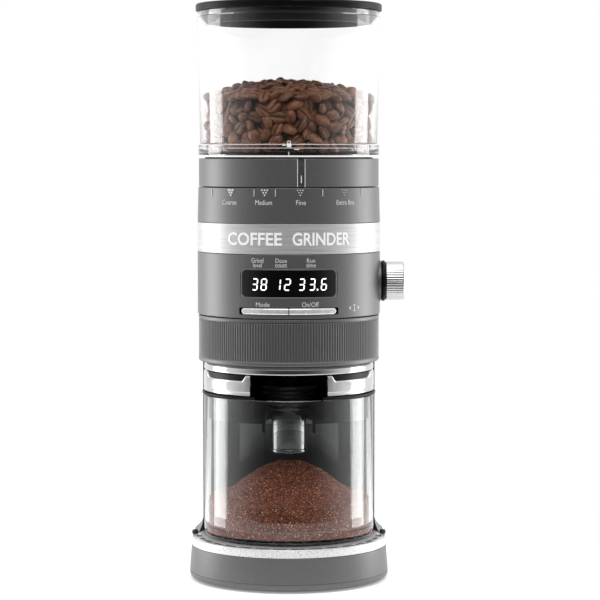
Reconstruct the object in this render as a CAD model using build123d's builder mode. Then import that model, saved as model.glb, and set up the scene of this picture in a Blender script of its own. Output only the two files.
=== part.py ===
from build123d import *
from math import acos, asin, atan2, cos, degrees, hypot, pi, radians, sin, tan
import os

os.makedirs("parts", exist_ok=True)

# Burr coffee grinder, 400 mm tall. Millimetres. The main axis is Z, through the hopper,
# the burrs and the jar. Z = 0 is the surface it stands on, and the front is -Y.

# ------------------------------------------------------------------ driving dimensions
# Heights on the main axis, from the floor up
PLATE_LOW = 1.2            # underside of the base plate, carried by the foot ring
SEAM_Z = 6.0               # seam between the base plate and the base shell
BASE_TOP = 24.0
TRAY_TOP = 29.7
JAR_FOOT = 29.8
JAR_RIM = 130.0
JAR_LID_TOP = 131.8
ARM_LOW = 132.3
ARM_HIGH = 146.5
TRIM_LOW = 146.8
TRIM_HIGH = 152.6
HOLDER_LOW = 153.0         # knurled ring that opens and closes the arms
HOLDER_HIGH = 185.2
CONTROL_LOW = 185.8
CONTROL_HIGH = 229.0
BAND_HIGH = 249.4
SCALE_HIGH = 273.6
COLLAR_LOW = 274.2
COLLAR_HIGH = 293.3
HOPPER_LOW = 294.4
LID_LOW = 395.0
LID_HIGH = 400.0

# Radii of the outer skins
BASE_R = 69.4
TRAY_R = 68.1
COLUMN_R = 60.7            # half the column's width, and the radius of its back
BAY_R = 64.5               # hollow front of the column, around the jar and the head
REAR_Y = 60.0              # centre of the rounded back
JAR_R = 59.2
ARM_R = 59.4
TRIM_R = 59.1
HOLDER_R = 62.9
HEAD_R = 63.5
FRAME_R = 60.9             # inner frame that carries the head's skins
COLLAR_R = 62.5
LID_R = 64.5

WALL = 2.5                 # moulded and die-cast skins
SHEET = 1.2                # stainless sheet
EDGE = 0.4                 # broken edges of the skins
RUN = 0.06                 # radial clearance of a shaft in its bore
GAP = 0.3                  # clearance round a moving cover

# Gear train: driven gear on the main axis, idler, pinion on the motor shaft
MODULE = 1.0
PRESSURE = radians(20)
BACKLASH = 0.16            # taken off each tooth's thickness at the pitch circle
DRIVEN_TEETH = 52
IDLER_TEETH = 58
PINION_TEETH = 15
IDLER_Y = MODULE * (DRIVEN_TEETH + IDLER_TEETH) / 2
MOTOR_Y = IDLER_Y + MODULE * (IDLER_TEETH + PINION_TEETH) / 2
GEAR_LOW = 191.0
GEAR_HIGH = 198.0

# Gearbox, burrs and grinding chamber
GEARBOX_LOW = 186.0
GEARBOX_FLOOR = 189.0
COVER_LOW = 201.0
COVER_HIGH = 204.0
CHAMBER_R = 34.0
CHAMBER_BORE = 30.5
CHAMBER_HIGH = 262.0
SHAFT_R = 5.0
BEARING_R = 11.0
CHUTE_Y = -40.4            # vertical part of the chute, in front of the chamber
CHUTE_R = 6.0
NOZZLE_R = 16.0
NOZZLE_LOW = 137.0

# Portafilter arms: each swings on a pin behind it, driven by a cam slot in the knurled ring
ARM_PIN = (47.0, 22.0)
ARM_PIN_R = 2.0
ARM_START = 26.5           # bearings of an arm's ends, in degrees from the front
ARM_END = 118.0
DRIVE_PIN_AT = (60.0, 53.5)  # bearing and radius of the drive pin with the arms open
DRIVE_PIN_R = 1.5
HOLDER_TURN = 36.0         # degrees the knurled ring turns
ARM_TURN = 3.2             # degrees each arm swings meanwhile

# Controls on the head
KNOB_Z = 208.2
KNOB_R = 13.3
KNOB_SKIRT_R = 14.2
KNOB_END = 80.4
BUTTON_LOW = 188.6
BUTTON_HIGH = 192.7
BUTTON_HALF = 33.1
WINDOW_LOW = 200.2
WINDOW_HIGH = 218.6
WINDOW_HALF = 32.9
BOARD_Y = -49.5            # front face of the control board
POINTER_BEARING = 7.7      # degrees from the front to the collar's pointer


# ------------------------------------------------------------------ helpers
def turned(outline, rounding=0.0, mode=Mode.ADD, bearing=90.0, arc=360.0):
    """Revolve a closed (radius, height) outline about Z, from a bearing off the front."""
    polar = radians(bearing - 90)
    radial = (cos(polar), sin(polar), 0)
    with BuildSketch(Plane((0, 0, 0), x_dir=radial, z_dir=(radial[1], -radial[0], 0))) as section:
        with BuildLine():
            Polyline(*outline, close=True)
        make_face()
        if rounding:
            fillet(section.vertices(), rounding)
    revolve(section.sketch, axis=Axis.Z, revolution_arc=arc, mode=mode)


def ring(outer, inner, low, high, rounding=0.0, mode=Mode.ADD, bearing=90.0, arc=360.0):
    """A ring about Z, or a stretch of one."""
    outline = [(inner, low), (outer, low), (outer, high), (inner, high)]
    turned(outline, rounding, mode, bearing, arc)


def skin(outer, inner, low, high, edge, bearing=90.0, arc=360.0):
    """A ring whose two outer edges are broken at 45 degrees."""
    turned([(inner, low), (outer - edge, low), (outer, low + edge), (outer, high - edge),
            (outer - edge, high), (inner, high)], bearing=bearing, arc=arc)


def rod(radius, low, high, at=(0, 0), mode=Mode.ADD):
    """An upright cylinder."""
    with Locations((at[0], at[1], (low + high) / 2)):
        Cylinder(radius, high - low, mode=mode)


def cross_rod(radius, x_low, x_high, z, mode=Mode.ADD):
    """A cylinder along X at height z."""
    with Locations(Location(((x_low + x_high) / 2, 0, z), (0, 90, 0))):
        Cylinder(radius, x_high - x_low, mode=mode)


def block(x_span, y_span, z_span, mode=Mode.ADD):
    """A box given by its spans along X, Y and Z."""
    spans = (x_span, y_span, z_span)
    with Locations(tuple((a + b) / 2 for a, b in spans)):
        Box(*[b - a for a, b in spans], mode=mode)


def stadium(radius, low, high, taper=0.0, mode=Mode.ADD, length=REAR_Y):
    """The plan of the base: a round front about the axis and a round back, run upwards."""
    with BuildSketch(Plane.XY.offset(low)) as plan:
        with Locations((0, length / 2)):
            SlotCenterToCenter(length, 2 * radius, rotation=90)
    extrude(plan.sketch, amount=high - low, taper=taper, mode=mode)


def front_window(x_span, z_span, corner, mode=Mode.SUBTRACT, y_span=(-75, -45)):
    """A rounded rectangle run through the front of the head."""
    with BuildSketch(Plane.XZ.offset(-y_span[1])) as outline:
        with Locations(((x_span[0] + x_span[1]) / 2, (z_span[0] + z_span[1]) / 2)):
            RectangleRounded(x_span[1] - x_span[0], z_span[1] - z_span[0], corner)
    extrude(outline.sketch, amount=y_span[1] - y_span[0], mode=mode)


def turn_point(point, centre, angle):
    """A plan point turned about a centre by an angle in degrees."""
    dx, dy = point[0] - centre[0], point[1] - centre[1]
    c, s = cos(radians(angle)), sin(radians(angle))
    return (centre[0] + c * dx - s * dy, centre[1] + s * dx + c * dy)


def groove(points, width, low, high):
    """Cut a slot of constant width that follows plan points."""
    with BuildSketch(Plane.XY.offset(low)) as slot:
        with BuildLine() as middle:
            Spline(*points)
        trace(middle.line, width)
        for end in (points[0], points[-1]):
            with Locations(end):
                Circle(width / 2)
    extrude(slot.sketch, amount=high - low, mode=Mode.SUBTRACT)


def involute(angle):
    return tan(angle) - angle


def gear_body(teeth, centre_y, phase, low, high):
    """An involute spur gear; phase is the polar angle of the middle of one tooth."""
    pitch_r = MODULE * teeth / 2
    base_r = pitch_r * cos(PRESSURE)
    root_r = pitch_r - 1.25 * MODULE
    tip_r = pitch_r + 0.95 * MODULE
    half = pi / (2 * teeth) - BACKLASH / (2 * pitch_r)
    start_r = max(root_r, base_r)
    flank = [start_r + (tip_r - start_r) * step / 3 for step in range(4)]
    if base_r > root_r:
        flank = [root_r] + flank
    points = []
    for tooth in range(teeth):
        middle = radians(phase) + 2 * pi * tooth / teeth
        for side, radii in ((-1, flank), (1, flank[::-1])):
            for r in radii:
                roll = acos(min(1.0, base_r / r))
                turn = middle + side * (half + involute(PRESSURE) - involute(roll))
                points.append((r * cos(turn), centre_y + r * sin(turn)))
    with BuildSketch(Plane.XY.offset(low)) as outline:
        with BuildLine():
            Polyline(*points, close=True)
        make_face()
    extrude(outline.sketch, amount=high - low)


def save(builder, name):
    """Label a finished piece and write its STEP file, named after its node."""
    builder.part.label = name
    export_step(builder.part, f"parts/{name}.step")


# ------------------------------------------------------------------ base
SCREW_SPOTS = [(x, y) for x in (-36, 36) for y in (-20, 38, 84)]
BASE_CAVITY_R = 65.4

with BuildPart() as foot_ring:
    stadium(58, 0, 3)
    stadium(50, 0, 3, mode=Mode.SUBTRACT)
    fillet(foot_ring.edges().group_by(Axis.Z)[0], 0.5)
save(foot_ring, "foot_ring")

with BuildPart() as base_plate:
    stadium(BASE_R, PLATE_LOW, SEAM_Z)
    fillet(base_plate.edges().group_by(Axis.Z)[0], 3.4)
    stadium(BASE_CAVITY_R - 0.1, SEAM_Z, SEAM_Z + 2.5)
    stadium(BASE_CAVITY_R - 3, SEAM_Z, SEAM_Z + 2.5, mode=Mode.SUBTRACT)
    stadium(58, PLATE_LOW, 3, mode=Mode.SUBTRACT)
    stadium(50, PLATE_LOW, 3)
    for spot in SCREW_SPOTS:
        rod(1.8, PLATE_LOW, SEAM_Z, spot, Mode.SUBTRACT)
        rod(3.4, PLATE_LOW, 4.0, spot, Mode.SUBTRACT)
save(base_plate, "base_plate")

BASE_TAPER = degrees(atan2(BASE_R - TRAY_R, BASE_TOP - SEAM_Z))
with BuildPart() as base_shell:
    stadium(BASE_R, SEAM_Z + 0.2, BASE_TOP, taper=BASE_TAPER)
    fillet(base_shell.edges().group_by(Axis.Z)[-1], 0.8)
    stadium(BASE_CAVITY_R, SEAM_Z, BASE_TOP - WALL, mode=Mode.SUBTRACT)
    for spot in SCREW_SPOTS:
        rod(4, SEAM_Z + 0.2, BASE_TOP - 1, spot)
        rod(1.3, SEAM_Z, BASE_TOP - 6, spot, Mode.SUBTRACT)
    rod(14, SEAM_Z, BASE_TOP + 1, (0, 96), Mode.SUBTRACT)
    with Locations(Location((0, REAR_Y + BASE_R - 2, 14), (90, 0, 0))):
        Cylinder(5, 12, mode=Mode.SUBTRACT)
save(base_shell, "base_shell")

with BuildPart() as base_screws:
    for spot in SCREW_SPOTS:
        rod(3.2, 2.2, 4.0, spot)
        rod(1.2, 4.0, 16, spot)
    for x, y in SCREW_SPOTS:
        block((x - 2, x + 2), (y - 0.4, y + 0.4), (2.0, 2.9), Mode.SUBTRACT)
save(base_screws, "base_screws")

with BuildPart() as cord_gland:
    back = Plane((0, REAR_Y + BASE_R + 0.1, 14), x_dir=(1, 0, 0), z_dir=(0, 1, 0))
    with BuildSketch(back):
        Circle(7.5)
    extrude(amount=2.2)
    fillet(cord_gland.edges().group_by(Axis.Y)[-1], 0.8)
    with BuildSketch(back):
        Circle(4.9)
    extrude(amount=-6)
    with BuildSketch(back.offset(-4.6)):
        Circle(5.4)
    extrude(amount=-1.4)
    with BuildSketch(back.offset(3)):
        Circle(3.3)
    extrude(amount=-12, mode=Mode.SUBTRACT)
save(cord_gland, "cord_gland")

# Polished tray under the jar: a pressed sheet with a turned-down edge. It slides out forwards.
TRAY_REAR_R = 64.2
TRAY_SHOULDER_Y = 6.0
TRAY_LOW = 24.2
with BuildPart() as drip_tray:
    with BuildSketch(Plane.XY.offset(TRAY_LOW)) as plan:
        Circle(TRAY_R)
        with Locations((0, TRAY_SHOULDER_Y + 50)):
            Rectangle(200, 100, mode=Mode.SUBTRACT)
        Circle(TRAY_REAR_R)
    extrude(amount=TRAY_TOP - TRAY_LOW)
    fillet(drip_tray.edges().group_by(Axis.Z)[-1], 0.9)
    rod(TRAY_REAR_R - 1.6, TRAY_LOW - 1, TRAY_TOP - 1.6, mode=Mode.SUBTRACT)
    with Locations((0, 0, TRAY_TOP)):
        with PolarLocations(62.6, 16, start_angle=-180 + 5.625, angular_range=180):
            Box(4.2, 9.8, 1.0, mode=Mode.SUBTRACT)
save(drip_tray, "drip_tray")

# ------------------------------------------------------------------ column
COLUMN_HIGH = 268.0
FLARE_OUT = 7.4
FLARE_LOW = 25.0
FLARE_HIGH = 39.7
FLARE_BEND = 18.3           # radius of the hollow curve
STRIP_HALF = 17.8
STRIP_LOW = 32.0
STRIP_HIGH = 96.0
BAR_HIGH = 100.0
RECESS_R = BAY_R + 1.4
PLATE_HALF = 48.0          # half width of the gearbox plate where it enters the column


def flare_section(plane):
    """The foot of the column curves outwards to meet the base: a quarter-hollow in section."""
    with BuildSketch(plane) as section:
        with BuildLine():
            Line((COLUMN_R - 2, BASE_TOP), (COLUMN_R + FLARE_OUT, BASE_TOP))
            Line((COLUMN_R + FLARE_OUT, BASE_TOP), (COLUMN_R + FLARE_OUT, FLARE_LOW))
            RadiusArc((COLUMN_R + FLARE_OUT, FLARE_LOW), (COLUMN_R, FLARE_HIGH), FLARE_BEND)
            Line((COLUMN_R, FLARE_HIGH), (COLUMN_R - 2, FLARE_HIGH))
            Line((COLUMN_R - 2, FLARE_HIGH), (COLUMN_R - 2, BASE_TOP))
        make_face()
    return section.sketch


flare_side = flare_section(Plane.XZ.offset(-TRAY_SHOULDER_Y))
flare_back = flare_section(Plane.XZ.offset(-REAR_Y))
STRIP_TURN = degrees(asin(STRIP_HALF / BAY_R))

with BuildPart() as column_core:
    stadium(COLUMN_R - WALL, BASE_TOP - 1, COLUMN_HIGH - WALL)
    rod(BAY_R + WALL, BASE_TOP - 2, COLUMN_HIGH, mode=Mode.SUBTRACT)

with BuildPart() as column_shell:
    stadium(COLUMN_R, BASE_TOP, COLUMN_HIGH)
    fillet(column_shell.edges().group_by(Axis.Z)[-1], 5)
    extrude(flare_side, amount=-(REAR_Y - TRAY_SHOULDER_Y))
    mirror(about=Plane.YZ)
    revolve(flare_back, axis=Axis((0, REAR_Y, 0), (0, 0, 1)), revolution_arc=180)
    rod(BAY_R, BASE_TOP - 1, COLUMN_HIGH + 1, mode=Mode.SUBTRACT)
    fillet(column_shell.edges().filter_by(Axis.Z).group_by(Axis.Y)[0], 0.6)
    add(column_core.part, mode=Mode.SUBTRACT)
    ring(RECESS_R, BAY_R - 1, STRIP_LOW, BAR_HIGH, mode=Mode.SUBTRACT, bearing=180 - STRIP_TURN,
         arc=2 * STRIP_TURN)
    block((-PLATE_HALF - 2, PLATE_HALF + 2), (0, 80), (CONTROL_LOW - 3, COVER_HIGH + 2), Mode.SUBTRACT)
    for side in (-1, 1):
        shelf = sorted((side * 44, side * (COLUMN_R - WALL)))
        block(shelf, (45, 75), (GEARBOX_LOW - 5, GEARBOX_LOW))
save(column_shell, "column_shell")

with BuildPart() as column_strip:
    ring(RECESS_R, BAY_R - 0.2, STRIP_LOW, STRIP_HIGH - 0.1, bearing=180 - STRIP_TURN + 0.2,
         arc=2 * STRIP_TURN - 0.4)
save(column_strip, "column_strip")

with BuildPart() as strip_bar:
    ring(RECESS_R, BAY_R - 0.8, STRIP_HIGH, BAR_HIGH, rounding=0.3, bearing=180 - STRIP_TURN,
         arc=2 * STRIP_TURN)
save(strip_bar, "strip_bar")

# ------------------------------------------------------------------ power board and motor
with BuildPart() as power_board:
    block((-34, 34), (100, 101.6), (34, 92))
    block((-28, -8), (84, 100), (40, 56))
    block((2, 26), (88, 100), (42, 62))
    with Locations(Location((-14, 91, 76), (90, 0, 0))):
        Cylinder(9, 18)
    with Locations(Location((14, 92, 78), (90, 0, 0))):
        Cylinder(7, 16)
save(power_board, "power_board")

CAN_R = 23.0
CAN_LOW = 106.0
MOTOR_SHAFT_R = 2.5
with BuildPart() as motor_can:
    rod(CAN_R, CAN_LOW, GEARBOX_LOW, (0, MOTOR_Y))
    fillet(motor_can.edges().group_by(Axis.Z)[0], 3)
    rod(CAN_R - 1.7, CAN_LOW + 3, GEARBOX_LOW - 2, (0, MOTOR_Y), Mode.SUBTRACT)
    rod(6, CAN_LOW - 3, CAN_LOW + 4, (0, MOTOR_Y))
    rod(6, GEARBOX_LOW - 5, GEARBOX_LOW + 2, (0, MOTOR_Y))
    rod(MOTOR_SHAFT_R + RUN, CAN_LOW - 4, GEARBOX_LOW + 3, (0, MOTOR_Y), Mode.SUBTRACT)
save(motor_can, "motor_can")

MAGNET_LOW = 116.0
MAGNET_HIGH = 172.0
with BuildPart() as motor_magnets:
    rod(CAN_R - 1.8, MAGNET_LOW, MAGNET_HIGH, (0, MOTOR_Y))
    rod(18.4, MAGNET_LOW - 1, MAGNET_HIGH + 1, (0, MOTOR_Y), Mode.SUBTRACT)
    block((-5, 5), (MOTOR_Y - 30, MOTOR_Y + 30), (MAGNET_LOW - 1, MAGNET_HIGH + 1), Mode.SUBTRACT)
save(motor_magnets, "motor_magnets")

with BuildPart() as motor_armature:
    rod(17.6, 120, 166, (0, MOTOR_Y))
    with Locations((0, MOTOR_Y, 143)):
        with PolarLocations(15, 7):
            Box(9, 1.8, 60, mode=Mode.SUBTRACT)
    rod(9, 112, 120, (0, MOTOR_Y))
    rod(7.5, 166, 178, (0, MOTOR_Y))
    rod(MOTOR_SHAFT_R, CAN_LOW - 2, GEAR_HIGH + 1.5, (0, MOTOR_Y))
save(motor_armature, "motor_armature")

with BuildPart() as motor_pinion:
    gear_body(PINION_TEETH, MOTOR_Y, 270, GEAR_LOW - 0.5, GEAR_HIGH + 0.5)
    rod(MOTOR_SHAFT_R, GEAR_LOW - 1, GEAR_HIGH + 1, (0, MOTOR_Y), Mode.SUBTRACT)
save(motor_pinion, "motor_pinion")

# ------------------------------------------------------------------ gearbox
SCREW_POSTS = [(x, y) for x in (-33, 33) for y in (-17, 86)] + [(-39, 24), (39, 24)]
with BuildPart() as gearbox_plate:
    rod(FRAME_R, GEARBOX_LOW, GEARBOX_FLOOR)
    stadium(PLATE_HALF, GEARBOX_LOW, GEARBOX_FLOOR)
    rod(14, GEARBOX_LOW - 3, GEARBOX_LOW)
    rod(7, GEARBOX_LOW - 4, GEARBOX_FLOOR, mode=Mode.SUBTRACT)
    rod(BEARING_R, GEARBOX_LOW - 2, GEARBOX_FLOOR + 1, mode=Mode.SUBTRACT)
    rod(4, GEARBOX_LOW - 1, GEARBOX_FLOOR + 1, (0, IDLER_Y), Mode.SUBTRACT)
    rod(7.5, GEARBOX_LOW - 1, GEARBOX_FLOOR + 1, (0, MOTOR_Y), Mode.SUBTRACT)
    block((-11, 11), (-56, CHUTE_Y + 11), (GEARBOX_LOW - 1, GEARBOX_FLOOR + 1), Mode.SUBTRACT)
    block((-36, 36), (-70, -48), (GEARBOX_LOW - 1, GEARBOX_FLOOR + 1), Mode.SUBTRACT)
    for spot in SCREW_POSTS:
        rod(1.5, GEARBOX_LOW - 1, GEARBOX_FLOOR + 1, spot, Mode.SUBTRACT)
save(gearbox_plate, "gearbox_plate")

with BuildPart() as gearbox_cover:
    stadium(42, COVER_LOW, COVER_HIGH, length=IDLER_Y)
    rod(14, COVER_LOW - 1.5, COVER_LOW)
    rod(7, COVER_LOW - 2, COVER_HIGH + 1, mode=Mode.SUBTRACT)
    rod(BEARING_R, COVER_LOW - 0.8, COVER_HIGH + 1, mode=Mode.SUBTRACT)
    rod(4, COVER_LOW - 1, COVER_HIGH + 1, (0, IDLER_Y), Mode.SUBTRACT)
    block((-11, 11), (-56, -CHAMBER_R + 0.1), (COVER_LOW - 1, COVER_HIGH + 1), Mode.SUBTRACT)
    for spot in SCREW_POSTS:
        rod(1.5, COVER_LOW - 1, COVER_HIGH + 1, spot, Mode.SUBTRACT)
save(gearbox_cover, "gearbox_cover")

with BuildPart() as gearbox_screws:
    for spot in SCREW_POSTS:
        rod(1.4, GEARBOX_LOW + 0.2, COVER_HIGH, spot)
        rod(3.4, GEARBOX_FLOOR, COVER_LOW, spot)
        rod(2.8, COVER_HIGH, COVER_HIGH + 1.8, spot)
save(gearbox_screws, "gearbox_screws")

with BuildPart() as idler_pin:
    rod(4, GEARBOX_LOW, COVER_HIGH, (0, IDLER_Y))
save(idler_pin, "idler_pin")

LOWER_BEARING = (GEARBOX_LOW - 2, GEARBOX_FLOOR)
UPPER_BEARING = (COVER_LOW - 0.8, COVER_HIGH)
with BuildPart() as shaft_bearings:
    for low, high in (LOWER_BEARING, UPPER_BEARING):
        ring(BEARING_R, SHAFT_R + RUN, low, high)
save(shaft_bearings, "shaft_bearings")

with BuildPart() as driven_gear:
    gear_body(DRIVEN_TEETH, 0, 90, GEAR_LOW, GEAR_HIGH)
    rod(9, GEARBOX_FLOOR + 0.4, GEAR_HIGH + 1)
    ring(22, 11, GEAR_LOW - 1, GEAR_LOW + 2, mode=Mode.SUBTRACT)
    ring(22, 11, GEAR_HIGH - 2, GEAR_HIGH + 2, mode=Mode.SUBTRACT)
    rod(SHAFT_R, GEARBOX_FLOOR, GEAR_HIGH + 3, mode=Mode.SUBTRACT)
save(driven_gear, "driven_gear")

with BuildPart() as idler_gear:
    gear_body(IDLER_TEETH, IDLER_Y, 270 + 180 / IDLER_TEETH, GEAR_LOW, GEAR_HIGH)
    rod(8, GEARBOX_FLOOR + 0.4, COVER_LOW - 0.4, (0, IDLER_Y))
    with Locations((0, IDLER_Y, GEAR_LOW)):
        with PolarLocations(17, 6, start_angle=30):
            Cylinder(5, 40, mode=Mode.SUBTRACT)
    rod(4 + RUN, GEARBOX_FLOOR, COVER_LOW, (0, IDLER_Y), Mode.SUBTRACT)
save(idler_gear, "idler_gear")

# ------------------------------------------------------------------ burrs and chamber
SHAFT_HIGH = 250.0
CONE_LOW = 214.0
CONE_HIGH = 244.0
CONE_LOW_R = 20.0
CONE_HIGH_R = 9.0
CONE_SLOPE = (CONE_LOW_R - CONE_HIGH_R) / (CONE_HIGH - CONE_LOW)
GRIND_GAP = 0.7

with BuildPart() as burr_shaft:
    rod(SHAFT_R, GEARBOX_LOW - 2, CONE_HIGH - 1)
    rod(3, CONE_HIGH - 1, SHAFT_HIGH)
    rod(8, COVER_HIGH + 0.4, 207)
save(burr_shaft, "burr_shaft")

with BuildPart() as grind_impeller:
    rod(CHAMBER_BORE - 1, 207.6, 210)
    with Locations((0, 0, 211)):
        with PolarLocations(22, 6):
            Box(14, 2, 2.4)
    rod(9, 207, CONE_LOW)
    rod(SHAFT_R, 206, CONE_LOW + 1, mode=Mode.SUBTRACT)
save(grind_impeller, "grind_impeller")

with BuildPart() as cone_burr:
    turned([(0, CONE_LOW), (CONE_LOW_R, CONE_LOW), (CONE_HIGH_R, CONE_HIGH), (0, CONE_HIGH)])
    with Locations((0, 0, CONE_LOW)):
        with PolarLocations(CONE_LOW_R, 24):
            with Locations(Location((0, 0, 0), (20, -20.1, 0))):
                Box(1.6, 1.4, 90, mode=Mode.SUBTRACT)
    rod(SHAFT_R, CONE_LOW - 1, CONE_HIGH - 1, mode=Mode.SUBTRACT)
    rod(3, CONE_HIGH - 2, CONE_HIGH + 1, mode=Mode.SUBTRACT)
save(cone_burr, "cone_burr")

with BuildPart() as burr_nut:
    with BuildSketch(Plane.XY.offset(CONE_HIGH)):
        RegularPolygon(5.4, 6)
        Circle(3, mode=Mode.SUBTRACT)
    extrude(amount=4)
save(burr_nut, "burr_nut")

RING_LOW = 221.0
RING_WAIST = 228.0
RING_HIGH = 243.0
RING_R = 25.0
with BuildPart() as ring_burr:
    at_low = CONE_LOW_R - CONE_SLOPE * (RING_LOW - CONE_LOW) + GRIND_GAP
    at_waist = CONE_LOW_R - CONE_SLOPE * (RING_WAIST - CONE_LOW) + GRIND_GAP
    turned([(at_low, RING_LOW), (RING_R, RING_LOW), (RING_R, RING_HIGH), (RING_R - 3, RING_HIGH),
            (at_waist, RING_WAIST)])
    with Locations((0, 0, RING_HIGH)):
        with PolarLocations(RING_R - 5, 12):
            with Locations(Location((0, 0, 0), (0, 18, 0))):
                Cylinder(1.6, 22, mode=Mode.SUBTRACT)
save(ring_burr, "ring_burr")

CARRIER_R = CHAMBER_BORE - 0.4
CARRIER_HIGH = 258.0
SLEEVE_R = 24.0
LUG_R = 26.4
LUG_HIGH = 256.0
with BuildPart() as ring_burr_carrier:
    ring(CARRIER_R, RING_R - 2.5, RING_LOW - 3, RING_LOW)
    ring(CARRIER_R, RING_R, RING_LOW, RING_HIGH)
    ring(CARRIER_R, SLEEVE_R + 0.4, RING_HIGH, CARRIER_HIGH)
    with Locations((0, 0, CARRIER_HIGH - 4)):
        with PolarLocations(SLEEVE_R + 1.4, 3):
            Box(4, 6.8, 8.2, mode=Mode.SUBTRACT)
save(ring_burr_carrier, "ring_burr_carrier")

with BuildPart() as grinding_chamber:
    ring(CHAMBER_R, CHAMBER_BORE, COVER_HIGH, CHAMBER_HIGH)
    rod(CHAMBER_BORE + 1, COVER_HIGH, 207)
    rod(9, COVER_HIGH - 1, 208, mode=Mode.SUBTRACT)
    ring(CHAMBER_R + 5, CHAMBER_R - 1, 240, 244)
    block((-5, 5), (-40, -20), (207, 217), Mode.SUBTRACT)
save(grinding_chamber, "grinding_chamber")

# The chute: a short spout from the chamber, a drop, and an oblique funnel back to the axis
CHUTE_TOP = 219.0
CHUTE_KNEE = 188.0
CHUTE_FOOT = 158.0


def chute_run(upper_r, lower_r, top):
    """The chute's three stretches, for its outside or its bore."""
    rod(upper_r, CHUTE_KNEE, top, (0, CHUTE_Y))
    with BuildSketch(Plane.XY.offset(CHUTE_KNEE)) as knee:
        with Locations((0, CHUTE_Y)):
            Circle(upper_r)
    with BuildSketch(Plane.XY.offset(CHUTE_FOOT)) as foot:
        Circle(lower_r)
    loft([knee.sketch, foot.sketch])
    rod(lower_r, NOZZLE_LOW, CHUTE_FOOT)


with BuildPart() as chute_bore:
    chute_run(CHUTE_R - 1.2, NOZZLE_R - 1.6, CHUTE_TOP - 1.2)
    rod(NOZZLE_R - 1.6, NOZZLE_LOW - 1, NOZZLE_LOW)
    block((-4, 4), (CHUTE_Y, -30), (207.5, 216.5))

with BuildPart() as grind_chute:
    chute_run(CHUTE_R, NOZZLE_R, CHUTE_TOP)
    block((-5, 5), (CHUTE_Y, -32), (207, 217))
    rod(CHAMBER_R, 200, 222, mode=Mode.SUBTRACT)
    add(chute_bore.part, mode=Mode.SUBTRACT)
save(grind_chute, "grind_chute")

# ------------------------------------------------------------------ lower head and trim
CORE_R = 56.9
CORE_WALL = 2.4
CORE_LOW = 156.0
FLOOR_LOW = 147.0
FLOOR_HIGH = 150.0
TIE_SPOTS = [(x, y) for x in (-27, 27) for y in (-27, 27)]

with BuildPart() as head_core:
    ring(CORE_R, CORE_R - CORE_WALL, CORE_LOW, GEARBOX_LOW)
    ring(CORE_R - 1, 18, CORE_LOW, CORE_LOW + 2.4)
save(head_core, "head_core")


def pin_path(side, in_ring, steps=5):
    """Where an arm's drive pin goes as the knurled ring turns, seen by the head or by the ring."""
    bearing, radius = DRIVE_PIN_AT
    start = (side * radius * sin(radians(bearing)), -radius * cos(radians(bearing)))
    pivot = (side * ARM_PIN[0], ARM_PIN[1])
    points = []
    for step in range(steps):
        share = step / (steps - 1)
        point = turn_point(start, pivot, -side * ARM_TURN * share)
        points.append(turn_point(point, (0, 0), -HOLDER_TURN * share) if in_ring else point)
    return points


with BuildPart() as head_floor:
    ring(57.0, NOZZLE_R + 0.6, FLOOR_LOW, FLOOR_HIGH)
    ring(57.0, 55.6, FLOOR_HIGH, TRIM_HIGH - 0.1)
    for spot in TIE_SPOTS:
        rod(4, FLOOR_HIGH, CORE_LOW, spot)
        rod(1.3, FLOOR_LOW - 1, CORE_LOW + 1, spot, Mode.SUBTRACT)
    for side in (-1, 1):
        groove(pin_path(side, in_ring=False), 2 * DRIVE_PIN_R + 0.8, FLOOR_LOW - 1, FLOOR_HIGH + 1)
        rod(ARM_PIN_R, FLOOR_LOW - 1, FLOOR_HIGH + 1, (side * ARM_PIN[0], ARM_PIN[1]), Mode.SUBTRACT)
save(head_floor, "head_floor")

with BuildPart() as trim_ring:
    ring(TRIM_R, 57.0, TRIM_LOW, TRIM_HIGH, rounding=0.9)
save(trim_ring, "trim_ring")

with BuildPart() as holder_ring:
    ring(HOLDER_R, CORE_R + GAP, HOLDER_LOW, HOLDER_HIGH, rounding=0.5)
    ring(HOLDER_R - 2, 45, HOLDER_LOW, HOLDER_LOW + 2.4)
    for side in (-1, 1):
        groove(pin_path(side, in_ring=True), 2 * DRIVE_PIN_R + 0.8, HOLDER_LOW - 1, HOLDER_LOW + 3)
save(holder_ring, "holder_ring")

with BuildPart() as arm_pins:
    for side in (-1, 1):
        pivot = (side * ARM_PIN[0], ARM_PIN[1])
        rod(3.6, ARM_LOW + 0.1, ARM_LOW + 1.1, pivot)
        rod(ARM_PIN_R, ARM_LOW + 1.1, FLOOR_HIGH, pivot)
save(arm_pins, "arm_pins")

# ------------------------------------------------------------------ portafilter arms
RELIEF_Z = 142.8           # the arm's top edge drops to here between its two raised ends
RELIEF_FROM = 30.5
RELIEF_TO = 73.0
CARRIER_FROM = 40.0


def first_bearing(side, start, end):
    """The bearing at which a stretch of ring starts, on the right or on the left."""
    return start if side > 0 else -end


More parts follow.
